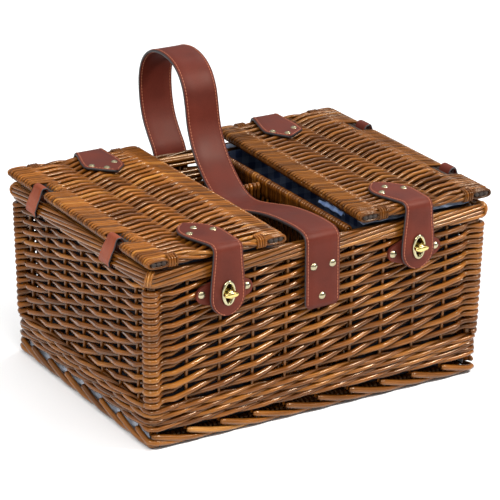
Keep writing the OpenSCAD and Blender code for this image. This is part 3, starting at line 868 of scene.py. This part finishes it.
def upright_mat(name, node_name, along_axis):
    """A partition: weavers run up and down it and wrap over its top rail."""
    low, high = corners(node_name)
    rods = Rods(7)
    centre, other, across = (low + high) / 2, 1 - along_axis, np.eye(3)[along_axis]
    length = high[along_axis] - low[along_axis]
    rows = round(length / (4.6 * MM))
    rail_r = (high[other] - low[other]) / 2
    rail_z = high[2] - rail_r
    bars = [low[2] + (rail_z - low[2]) * f for f in (0.86, 0.66, 0.46, 0.26, 0.08)]
    turn, wrap_r = np.linspace(np.pi, 0, 9), rail_r - 1.0 * MM
    for k in range(rows):
        swings = [3 * MM] + [2.2 * MM * (-1) ** (k + i) for i in range(len(bars))] + [0]
        down, off = eased([rail_z - 4 * MM, *bars, low[2]], swings, 4 * MM)
        h = np.concatenate([rail_z - np.array([16, 9, 3]) * MM, rail_z + wrap_r * np.sin(turn), down])
        points = np.zeros((len(h), 3))
        points[:, along_axis] = low[along_axis] + (k + 0.5) * length / rows
        points[:, other] = centre[other] + np.concatenate([[-2.2 * MM] * 3, wrap_r * np.cos(turn), off])
        points[:, 2] = h
        # Painted shade: the partition darkens quickly below its rail, in the shade of the compartment.
        shade = np.interp(h, [rail_z - 30 * MM, rail_z - 3 * MM, rail_z + 1 * MM], [0.22, 0.40, 1])
        rods.add(points, 1.95 * MM, across, shade=shade, thick=1.35 * MM)
    for h in [*bars, rail_z]:
        ends = np.tile([centre[0], centre[1], h], (2, 1))
        ends[:, along_axis] = low[along_axis], high[along_axis]
        # A flat painted shade on the bars and rail.
        rods.add(ends, 1.9 * MM if h == rail_z else 1.2 * MM, Z, tone=0.3, shade=0.4)
    give(rods.build(name), "root", WICKER, [node_name])


# ---------------------------------------------------------------- leather


GROOVE = 0.25 * MM
STITCH_INSET = 2.7 * MM
EDGE_FACES = (10, 11, 12, 23, 24, 25)


def strip_section(w, thick, inset):
    """Cross-section of a leather strip, (across, out) from its left: a crease by each edge."""
    g = max(w - inset, w * 0.5)
    top, edge, side = thick / 2, thick / 2 - 0.25 * MM, thick / 2 - 0.9 * MM
    upper = [(-w + 0.5 * MM, edge), (-g - 0.7 * MM, top), (-g, top - GROOVE), (-g + 0.7 * MM, top),
             (-g * 0.5, top), (0, top), (g * 0.5, top),
             (g - 0.7 * MM, top), (g, top - GROOVE), (g + 0.7 * MM, top), (w - 0.5 * MM, edge)]
    lower = [(-u, -h) for u, h in upper]
    return upper + [(w, side), (w, -side)] + lower + [(-w, -side), (-w, side)]


def strip(name, centre, across, face, half_widths, thick, body, replaced, material=LEATHER,
          inset=STITCH_INSET):
    """A leather strip swept along centre. across and face are its side and outer directions at
    each point; half_widths its half width there. Its cut edges take the edge paint."""
    n = len(centre)
    half_widths = np.broadcast_to(half_widths, n)
    across, face = np.broadcast_to(across, (n, 3)), np.broadcast_to(face, (n, 3))
    rings = [[p + a * u + f * h for u, h in strip_section(w, thick, inset)]
             for p, a, f, w in zip(centre, across, face, half_widths)]
    k = len(rings[0])
    obj = mesh_object(name, np.array(rings).reshape(-1, 3), tube(n, k))
    obj.data.materials.append(material)
    obj.data.materials.append(EDGE_PAINT)
    for i, polygon in enumerate(obj.data.polygons):
        if i >= (n - 1) * k or i % k in EDGE_FACES:
            polygon.material_index = 1
    if body:
        give(obj, body, None, replaced)
    return obj


STITCH_PITCH = 3.4 * MM
THREAD_R = 0.42 * MM


def stitches(name, line, out, body):
    """A row of stitches along line, a thread that shows on the outer face, out, and dives between."""
    gone = travelled(line)
    count = max(2, int(gone[-1] / STITCH_PITCH))
    out = np.broadcast_to(out, (len(line), 3))
    rods = Rods(5)
    for i in range(count):
        s = (i + 0.14 + 0.72 * np.linspace(0, 1, 6)) * gone[-1] / count
        p = np.column_stack([np.interp(s, gone, line[:, j]) for j in range(3)])
        o = np.column_stack([np.interp(s, gone, out[:, j]) for j in range(3)])
        lift = 0.34 * MM * np.sin(np.linspace(0, np.pi, 6)) - 0.25 * MM
        side = unit(np.cross(np.gradient(p, axis=0), o))
        rods.add(p + o * lift[:, None], THREAD_R, side, tone=0.5)
    obj = rods.build(name)
    obj.data.materials.append(THREAD)
    if body:
        give(obj, body, None)
    return obj


HANDLE_HALF = 20 * MM
HANDLE_T = 3.2 * MM
# The handle's curve, in mm as x, y, z from its front end over the loop to its back end
HANDLE = [
    [-2, -150.4, 118], [-3, -151.4, 150], [-4, -152.3, 180], [-4.2, -152.5, 187.5],
    [-4.4, -151.4, 193], [-4.6, -146, 197], [-4.8, -136, 198.4], [-5, -118, 198.4],
    [-6, -94, 197], [-7, -70, 193.8], [-8, -43, 187.6], [-9, -16, 181.5], [-9, 2, 179.6],
    [-9, 17, 182.5], [-9, 32, 190.4], [-8.5, 46, 200], [-8, 58.5, 211.5],
    [-7.5, 70, 227], [-7, 78, 244], [-7, 82, 263], [-7, 87, 280],
    [-7, 97.5, 295], [-7, 114, 304.5], [-7, 136, 307.5], [-7, 158, 303],
    [-7, 174.5, 290], [-7, 182, 270], [-7, 181, 245], [-7, 174.5, 224],
    [-6.5, 164.5, 207], [-6, 156.5, 196], [-5, 152.6, 184], [-4, 151.8, 165],
    [-3, 151, 140], [-2, 150.4, 118],
]


def handle():
    path = spline(np.array(HANDLE) * MM, 5)
    run = unit(np.gradient(path, axis=0))
    across = unit(X - run * (run @ X)[:, None])
    face = np.cross(run, across)
    gone = travelled(path)
    ends = np.minimum(gone, gone[-1] - gone)
    width = HANDLE_HALF - 3.5 * MM * np.clip(1 - ends / (3.5 * MM), 0, 1) ** 2
    strip("handle_leather", path, across, face, width, HANDLE_T, "root", ["handle_strap"], HANDLE_LEATHER)
    keep = ends > 3 * MM
    for edge, sign in SIDES.items():
        for layer, way in (("outer", 1), ("inner", -1)):
            line = path + across * sign * (HANDLE_HALF - STITCH_INSET) + face * way * HANDLE_T / 2
            stitches(f"handle_stitches_{edge}_{layer}", line[keep], (face * way)[keep], "root")


HEAD_LEAN = math.tan(math.radians(8.5))
STRAP_WAIST = 16.25 * MM
HEAD_HALF = 21.5 * MM
FLAP_HALF = 19.6 * MM
STRAP_T = 3 * MM
ARCH = 29 * MM
BEND = 7 * MM
BACK_POINT = {"left": 8 * MM, "right": -1 * MM}
SHORTER = {"left": 4 * MM, "right": 7 * MM}


def closing_strap(side, end):
    """Head and flap as one strap that bends over the lid's edge."""
    way = ENDS[end]
    head_low, head_high = corners(f"strap_{side}_{end}")
    flap_low, flap_high = corners(f"flap_{side}_{end}")
    x = (flap_low[0] + flap_high[0]) / 2
    top = (head_low[2] + head_high[2]) / 2 + 0.5 * MM
    outer = way * (abs(flap_low[1]) + abs(flap_high[1])) / 2
    tip = min(abs(head_low[1]), abs(head_high[1])) + (SHORTER[side] if end == "back" else 0)
    head_run, arc = abs(outer) - BEND - tip, BEND * np.pi / 2
    total = head_run + arc + top - BEND - flap_low[2] + 2.2 * MM
    fold = head_run + arc / 2
    s = np.concatenate([head_tip(head_run), np.linspace(head_run, head_run + arc, 9)[1:],
                        flap_steps(head_run + arc, total)])
    tilt = np.clip((s - head_run) / BEND, 0, np.pi / 2)
    along = tip + np.minimum(s, head_run) + BEND * np.sin(tilt)
    height = top - BEND * (1 - np.cos(tilt)) - np.maximum(s - head_run - arc, 0)
    centre = np.column_stack([np.full(len(s), x), way * along, height])
    face = np.column_stack([np.zeros(len(s)), way * np.sin(tilt), np.cos(tilt)])
    half = strap_half(s, fold, total)
    if end == "back":
        aside, half = back_head(s, fold, half, BACK_POINT[side])
        centre[:, 0] += aside
    centre[:, 0] -= HEAD_LEAN * np.maximum(head_run + BEND - s, 0)
    obj = strip(f"closing_strap_{side}_{end}", centre, X, face, half, STRAP_T, None, ())
    cut_slot(obj, f"eyelet_{side}_{end}")
    pieces = [obj]
    keep = half > 4.2 * MM
    for edge, sign in SIDES.items():
        line = centre + X * (sign * np.maximum(half - STITCH_INSET, 0))[:, None] + face * STRAP_T / 2
        pieces.append(stitches(f"strap_stitches_{side}_{end}_{edge}", line[keep], face[keep], None))
    start, stop = (x, way * (abs(outer) - BEND), top), (x, outer, top - BEND)
    for piece in pieces:
        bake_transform(piece)
        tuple(start)
        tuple(stop)
    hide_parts(f"strap_{side}_{end}", f"flap_{side}_{end}")


def back_head(s, fold, half, point):
    """Sideways shift and half width of a back strap, whose head ends in a point off its middle."""
    full = STRAP_WAIST + (HEAD_HALF - STRAP_WAIST) * np.clip((fold - s) / (fold - ARCH), 0, 1)
    at_tip = s < 27 * MM
    left = np.where(at_tip, point - (point + full) * np.clip(s / (25 * MM), 0.02, 1) ** 0.9, -half)
    right = np.where(at_tip, point + (full - point) * np.clip(s / (15 * MM), 0.02, 1) ** 0.9, half)
    return (left + right) / 2, (right - left) / 2


def head_tip(run):
    """Steps along the strap's head, closest at its tip."""
    return run * (1 - np.cos(np.linspace(0.04, np.pi / 2, 26)))[:-1]


def flap_steps(a, b):
    """Steps down the flap, closest at its round end."""
    return np.concatenate([np.linspace(a, a + (b - a) * 0.6, 14)[1:],
                           a + (b - a) * (0.6 + 0.4 * np.sin(np.linspace(0, np.pi / 2 - 0.05, 16)[1:]))])


def strap_half(s, fold, total):
    """Half width along the strap: a pointed arch, a waist at the fold, and a round end."""
    swell = np.clip((fold - s) / (fold - ARCH), 0, 1)
    head = STRAP_WAIST + (HEAD_HALF - STRAP_WAIST) * swell * swell * (3 - 2 * swell)
    head = head * np.clip(1 - (1 - np.clip(s / ARCH, 0, 1)) ** 2, 0, 1) ** 0.75
    widen = np.clip((s - fold) / (total - FLAP_HALF - fold), 0, 1)
    flap = STRAP_WAIST + (FLAP_HALF - STRAP_WAIST) * widen * widen * (3 - 2 * widen)
    left = np.clip((total - s) / FLAP_HALF, 0, 1)
    flap = flap * np.sqrt(np.clip(1 - (1 - left) ** 2, 0, 1))
    return np.maximum(np.where(s < fold, head, flap), 0.6 * MM)


def face_outwards(obj):
    """Turns a closed mesh's faces outwards, which the slot's cut needs."""
    bm = bmesh.new()
    bm.from_mesh(obj.data)
    bmesh.ops.recalc_face_normals(bm, faces=bm.faces)
    bm.to_mesh(obj.data)
    bm.free()


def cut_slot(obj, eyelet):
    """Cuts the oval opening for the turning knob through a flap."""
    low, high = corners(eyelet)
    centre = (low + high) / 2
    rx, rz = (high[0] - low[0]) / 2 - 1.6 * MM, (high[2] - low[2]) / 2 - 1.6 * MM
    points = [(centre[0] + rx * math.cos(q), centre[1] + depth, centre[2] + rz * math.sin(q))
              for depth in (-8 * MM, 8 * MM) for q in circle(40)]
    cutter = mesh_object("cutter", points, tube(2, 40))
    face_outwards(cutter)
    face_outwards(obj)
    cut = obj.modifiers.new("slot", "BOOLEAN")
    cut.object = cutter
    cut.operation = "DIFFERENCE"
    bpy.context.view_layer.update()
    done = bpy.data.meshes.new_from_object(obj.evaluated_get(bpy.context.evaluated_depsgraph_get()))
    obj.modifiers.clear()
    obj.data = done
    bpy.data.objects.remove(cutter)


def hinge_loop(side, end):
    """A leather loop round the lid's outer stick, threaded through the wall under the rim."""
    sign = SIDES[side]
    name = f"hinge_loop_{side}_{end}"
    low, high = corners(name)
    y = (low[1] + high[1]) / 2
    inside = min(abs(low[0]), abs(high[0])) + 4.6 * MM
    outside = max(abs(low[0]), abs(high[0])) - 1 * MM
    top, bottom = high[2] - 2.4 * MM, low[2] + 3 * MM
    mid = (inside + outside) / 2
    route = [(inside, top - 14 * MM), (inside + 0.6 * MM, top - 5 * MM), (mid - 3 * MM, top - 0.4 * MM),
             (mid + 1.5 * MM, top), (outside - 2.6 * MM, top - 4 * MM), (outside - 0.6 * MM, top - 12 * MM),
             (outside, top - 21 * MM), (outside - 0.2 * MM, bottom + 9 * MM),
             (outside - 2.2 * MM, bottom + 3.5 * MM),
             (outside - 8.0 * MM, bottom + 1.5 * MM), (mid - 4 * MM, bottom + 1 * MM),
             (inside, bottom + 6 * MM), (inside, (top + bottom) / 2), (inside, top - 15 * MM)]
    flat = spline(np.array(route), 5)
    lean = 15 * MM * np.clip((top - 8 * MM - flat[:, 1]) / (top - 8 * MM - bottom), 0, 1)
    path = np.column_stack([sign * flat[:, 0], y + lean, flat[:, 1]])
    run = unit(np.gradient(path, axis=0))
    across = unit(Y - run * (run @ Y)[:, None])
    face = np.cross(run, across) * sign
    half = (high[1] - low[1]) / 2 - 0.8 * MM
    # The right loops, on the far side, take the darker strap leather as painted shade.
    strip(f"loop_leather_{side}_{end}", path, across, face, half, 2 * MM, "root", [name],
          LOOP_LEATHER if side == "left" else LEATHER, inset=2.2 * MM)


# ---------------------------------------------------------------- brass and CAD nodes


def finish_nodes(names, material, bevel=0.0):
    """Gives CAD nodes their material, and a small bevel where it helps."""
    for name in names:
        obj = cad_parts[name]
        obj.data.materials.clear()
        obj.data.materials.append(material)
        if bevel:
            soft = obj.modifiers.new("soft_edge", "BEVEL")
            soft.width = bevel
            soft.segments = 3
            soft.limit_method = "ANGLE"
            soft.angle_limit = math.radians(50)


def oval(centre, rx, rz, n=48):
    q = circle(n)
    return np.column_stack([centre[0] + rx * np.cos(q), np.full(n, centre[1]), centre[2] + rz * np.sin(q)])


def depth_range(node_name):
    """Nearest and farthest distance of a node from the basket's middle, front to back."""
    low, high = corners(node_name)
    return sorted((abs(low[1]), abs(high[1])))


def eyelet(side, end):
    """The oval bezel: a rounded outer ring and a sleeve through the flap."""
    name, way = f"eyelet_{side}_{end}", ENDS[end]
    low, high = corners(name)
    back, front = depth_range(name)
    rx, rz = (high[0] - low[0]) / 2, (high[2] - low[2]) / 2
    centre = (low + high) / 2
    rods = Rods(12)
    centre[1] = way * (front - 0.9 * MM)
    ring = oval(centre, rx - 1.6 * MM, rz - 1.6 * MM)
    rods.add(ring, 1.4 * MM, Y, thick=1.75 * MM, closed=True)
    centre[1] = way * (front + back) / 2
    sleeve = oval(centre, rx - 2.1 * MM, rz - 2.1 * MM)
    rods.add(sleeve, (front - back) / 2 - 0.2 * MM, Y, thick=0.5 * MM, closed=True)
    give(rods.build(f"bezel_{side}_{end}"), f"flap_{side}_{end}", BEZEL, [name])


def wing_rings(long, tall, n=40, layers=7):
    """Rings of a wing with two rounded ears, as (x, share of its depth, z)."""
    points = []
    for i in range(layers):
        t = i / (layers - 1)
        shrink = math.sqrt(max(1 - (2 * t - 1) ** 4 * 0.35, 0))
        for q in circle(n):
            ear = tall * (0.62 + 0.38 * abs(math.cos(q)) ** 0.8)
            waist = 0.8 * MM * math.exp(-(math.cos(q) * 3) ** 2)
            points.append((long * math.cos(q) * shrink, t, (ear + waist) * math.sin(q) * shrink))
    return points, tube(layers, n)


def hub_rings(depth, n=20, layers=8):
    """Rings of the domed hub in the middle of the wing, in the same form."""
    points = []
    for i in range(layers):
        q = math.pi / 2 * i / layers
        rise = ((depth - 0.2 * MM) * math.sin(q) ** 0.7 + 0.1 * MM) / depth
        points += [(4.2 * MM * math.cos(q) * math.cos(turn), rise, 5.0 * MM * math.cos(q) * math.sin(turn))
                   for turn in circle(n)]
    return points, tube(layers, n)


def knob(side, end):
    """The turning knob: a wing and its hub."""
    name, way = f"knob_{side}_{end}", ENDS[end]
    low, high = corners(name)
    centre = (low + high) / 2
    near, far = depth_range(name)
    wing, wing_faces = wing_rings((high[0] - low[0]) / 2, 3.4 * MM)
    hub, hub_faces = hub_rings(far - near)
    points = [(centre[0] + x, way * (near + (far - near) * t), centre[2] + z) for x, t, z in wing + hub]
    faces = wing_faces + [[i + len(wing) for i in face] for face in hub_faces]
    give(mesh_object(f"wing_{side}_{end}", points, faces), name, GOLD, [name])


# ---------------------------------------------------------------- lining

LINING_HALF_Y = 131.5 * MM
LINING_OUT = 181.5 * MM
LINING_R = 9 * MM
FOLD_Y = (-68 * MM, -112 * MM)


def lining(side):
    """The cotton pouch of one compartment: a band of cloth round its walls and a sheet on its floor."""
    low, high = corners(f"lining_{side}")
    x0, x1 = sorted((abs(low[0]), abs(high[0])))
    x1 = min(x1, LINING_OUT)
    centre_x, half_x, z0 = (x0 + x1) / 2, (x1 - x0) / 2, low[2] + 0.8 * MM
    lining_walls(side, centre_x, half_x, z0, RIM_Z1 - 4.5 * MM)
    lining_floor(side, centre_x, half_x - 2 * MM, LINING_HALF_Y - 2 * MM, z0)


def lining_walls(side, centre_x, half_x, z0, z1):
    """The gathered band, whose waves deepen towards the rim."""
    half_y, r = LINING_HALF_Y, LINING_R
    length = 4 * (half_x - r) + 4 * (half_y - r) + 2 * np.pi * r
    s = np.linspace(0, length, 161)[:-1]
    line, out = around(s, half_x, half_y, r)
    heights, points = np.linspace(z0, z1, 34), []
    for z in heights:
        waves = np.sin(s / length * 2 * np.pi * 17 + 3 * np.sin(z / 0.05))
        p = line + out * (1.1 * MM * waves * (z - z0) / (z1 - z0) - 1.2 * MM)[:, None]
        p[:, 0] = SIDES[side] * (p[:, 0] + centre_x)
        p[:, 2] = z
        points.append(p)
    faces = [quad[::SIDES[side]] for quad in quads(len(heights), len(s), closed=True)]
    walls = mesh_object(f"lining_{side}_walls", np.concatenate(points), faces)
    check_cloth(walls, [f"lining_{side}"])


def lining_floor(side, centre_x, half_x, half_y, z0):
    """The sheet on the compartment's floor, which lies in shallow waves."""
    nx, ny = 24, 44
    points = [(SIDES[side] * centre_x + half_x * (2 * i / nx - 1), half_y * (2 * j / ny - 1),
               z0 + 0.5 * MM * math.sin(i * 1.7 + j * 0.6)) for i in range(nx + 1) for j in range(ny + 1)]
    floor = mesh_object(f"lining_{side}_floor", points, quads(nx + 1, ny + 1))
    check_cloth(floor, [])


def check_cloth(obj, replaced):
    """Finishes a cloth whose outer side, on the first slot, is painted near black as the shade behind the
    wicker.
    """
    obj.data.materials.append(COTTON_PAINTED_SHADE)
    obj.data.materials.append(COTTON)
    thickness(obj, 1.0 * MM)
    obj.modifiers["thickness"].offset = 0
    obj.modifiers["thickness"].material_offset = 1
    give(obj, "root", None, replaced)


def thickness(obj, thick):
    obj.modifiers.new("thickness", "SOLIDIFY").thickness = thick


def cloth_strip(name, place, steps, rows, material):
    """A narrow strip of cloth. place gives its point from a step along it and a row across it."""
    points = [place(i, k) for k in range(rows + 1) for i in range(steps + 1)]
    obj = mesh_object(name, points, quads(rows + 1, steps + 1))
    obj.data.materials.append(material)
    thickness(obj, 0.8 * MM)
    give(obj, "root", None)


def floor_light_strip(side):
    """A pale strip of check behind the foot on the short sides: painted light, standing in for the lit floor
    seen through the foot's openings.
    """
    _, high = corners("base_panel")
    sign, n = SIDES[side], 60
    x, half, z0, z1 = high[0] + 3.2 * MM, high[1] - 2 * MM, 7.5 * MM, FOOT_HIGH[2] - 1 * MM

    def place(i, k):
        wave = 0.5 * MM * math.sin(i * 0.9 + 2 * k)
        return sign * (x + wave), half * (2 * i / n - 1), z0 + (z1 - z0) * k / 3

    cloth_strip(f"lining_{side}_hem", place, n, 3, FLOOR_LIGHT_CLOTH)


def rim_cloth(end):
    """The right lining's edge, laid over the top border under the lid."""
    low, high = corners("lining_right")
    way, n, m = ENDS[end], 50, 5
    y0, y1 = abs(low[1]) - 13 * MM, abs(low[1]) - 2.5 * MM
    x0, x1, z = low[0] + 9 * MM, 181 * MM, high[2] - 1.0 * MM

    def place(i, k):
        wave = 0.4 * MM * math.sin(i * 0.8 + k)
        return x0 + (x1 - x0) * i / n, way * (y0 + (y1 - y0) * k / m), z + wave

    cloth_strip(f"lining_right_edge_{end}", place, n, m, COTTON_EDGE)


def turned_edge():
    """The right lining's top edge, turned over the partition near the front, where it catches the light."""
    low, high = corners("lining_right")
    x0, z0, n, m = low[0] + 0.5 * MM, high[2] + 1 * MM, 40, 8

    def place(i, k):
        y = FOLD_Y[0] + (FOLD_Y[1] - FOLD_Y[0]) * i / n
        size = (0.7 + 0.3 * math.sin(math.pi * min(i / 14, 1) / 2)) * (1 - 0.25 * max(i - 22, 0) / 18)
        wave = 0.5 * MM * math.sin(i * 0.45 + 0.6 * k)
        turn = math.pi * k / m
        return (x0 + 5.5 * MM * size * (1 - math.cos(turn)) / 2, y,
                z0 + wave + 3.4 * MM * size * math.sin(turn))

    cloth_strip("lining_right_fold", place, n, m, COTTON_FOLD)


# ---------------------------------------------------------------- stage


def stage():
    floor = mesh_object("floor", [(-6, -6, 0), (6, -6, 0), (6, 6, 0), (-6, 6, 0)], [[0, 1, 2, 3]], False)
    pale = plain("pale_floor", (0.97, 0.97, 0.97), (0.96, 0.96, 0.96), 0.8, 4.0, bump=0.0)
    floor.data.materials.append(pale)
    world = bpy.data.worlds.new("studio")
    world.use_nodes = True
    tree = world.node_tree
    split = tree.nodes.new("ShaderNodeSeparateXYZ")
    link(tree, tree.nodes.new("ShaderNodeTexCoord").outputs["Generated"], split.inputs["Vector"])
    background = tree.nodes["Background"]
    link(tree, ranged(tree, split.outputs["Z"], 0.0, 1.0, 0.20, 1.10), background.inputs["Strength"])
    background.inputs["Color"].default_value = (1, 1, 1, 1)
    bpy.context.scene.world = world
    area("key", azimuth=44, elevation=46, distance=2.1, size=0.36, power=38)
    area("front", azimuth=-20, elevation=58, distance=2.1, size=0.6, power=9)
    area("left", azimuth=-62, elevation=38, distance=2.0, size=0.4, power=17)
    area("back", azimuth=122, elevation=46, distance=2.3, size=0.4, power=6)


def area(name, azimuth, elevation, distance, size, power):
    """A soft square lamp that faces the basket."""
    lamp = bpy.data.lights.new(name, "AREA")
    lamp.energy = power
    lamp.size = size
    obj = bpy.data.objects.new(name, lamp)
    a, e = math.radians(azimuth), math.radians(elevation)
    way = Vector((math.sin(a) * math.cos(e), -math.cos(a) * math.cos(e), math.sin(e)))
    obj.location = way * distance + Vector((0, 0, 0.12))
    obj.rotation_euler = way.to_track_quat("Z", "Y").to_euler()
    bpy.context.scene.collection.objects.link(obj)


CAMERA_AT = (-1.31176, -2.18554, 1.12507)
CAMERA_TURN = (31.057, 21.403, 0.554)
CAMERA_LENS = 189.52


def camera():
    """The photograph's view: from the left of the front and above, turned by yaw, pitch and roll."""
    yaw, pitch, roll = (math.radians(v) for v in CAMERA_TURN)
    forward = Vector((math.sin(yaw) * math.cos(pitch), math.cos(yaw) * math.cos(pitch), -math.sin(pitch)))
    right = Vector((math.cos(yaw), -math.sin(yaw), 0))
    up = right.cross(forward)
    turned = right * math.cos(roll) + up * math.sin(roll)
    upward = up * math.cos(roll) - right * math.sin(roll)
    data = bpy.data.cameras.new("camera")
    data.lens = CAMERA_LENS
    data.sensor_width = 36
    data.clip_end = 50
    obj = bpy.data.objects.new("camera", data)
    rows = [(*row, at) for *row, at in zip(turned, upward, -forward, CAMERA_AT)]
    obj.matrix_world = Matrix([*rows, (0, 0, 0, 1)])
    bpy.context.scene.collection.objects.link(obj)
    bpy.context.scene.camera = obj


# ---------------------------------------------------------------- the basket

camera()
stage()
bpy.context.scene.view_settings.view_transform = "Standard"

woven_walls()
stakes()
packing_rods()
waling()
borders()
rim_filling()
base()
upright_mat("partition_left_weave", "partition_left", 1)
upright_mat("partition_right_weave", "partition_right", 1)
upright_mat("divider_weave", "bottle_divider", 0)
for side in SIDES:
    lid(side)
    lining(side)
    floor_light_strip(side)
    for end in ENDS:
        closing_strap(side, end)
        hinge_loop(side, end)
        eyelet(side, end)
        knob(side, end)
for end in ENDS:
    rim_cloth(end)
turned_edge()
handle()
finish_nodes([f"patch_{s}_{e}" for s in SIDES for e in ENDS], LEATHER, 0.5 * MM)
finish_nodes(["patch_rivets", "handle_rivets", "strap_left_rivets", "strap_right_rivets"], BRASS)
finish_nodes(["clasp_plates"], GOLD, 0.15 * MM)
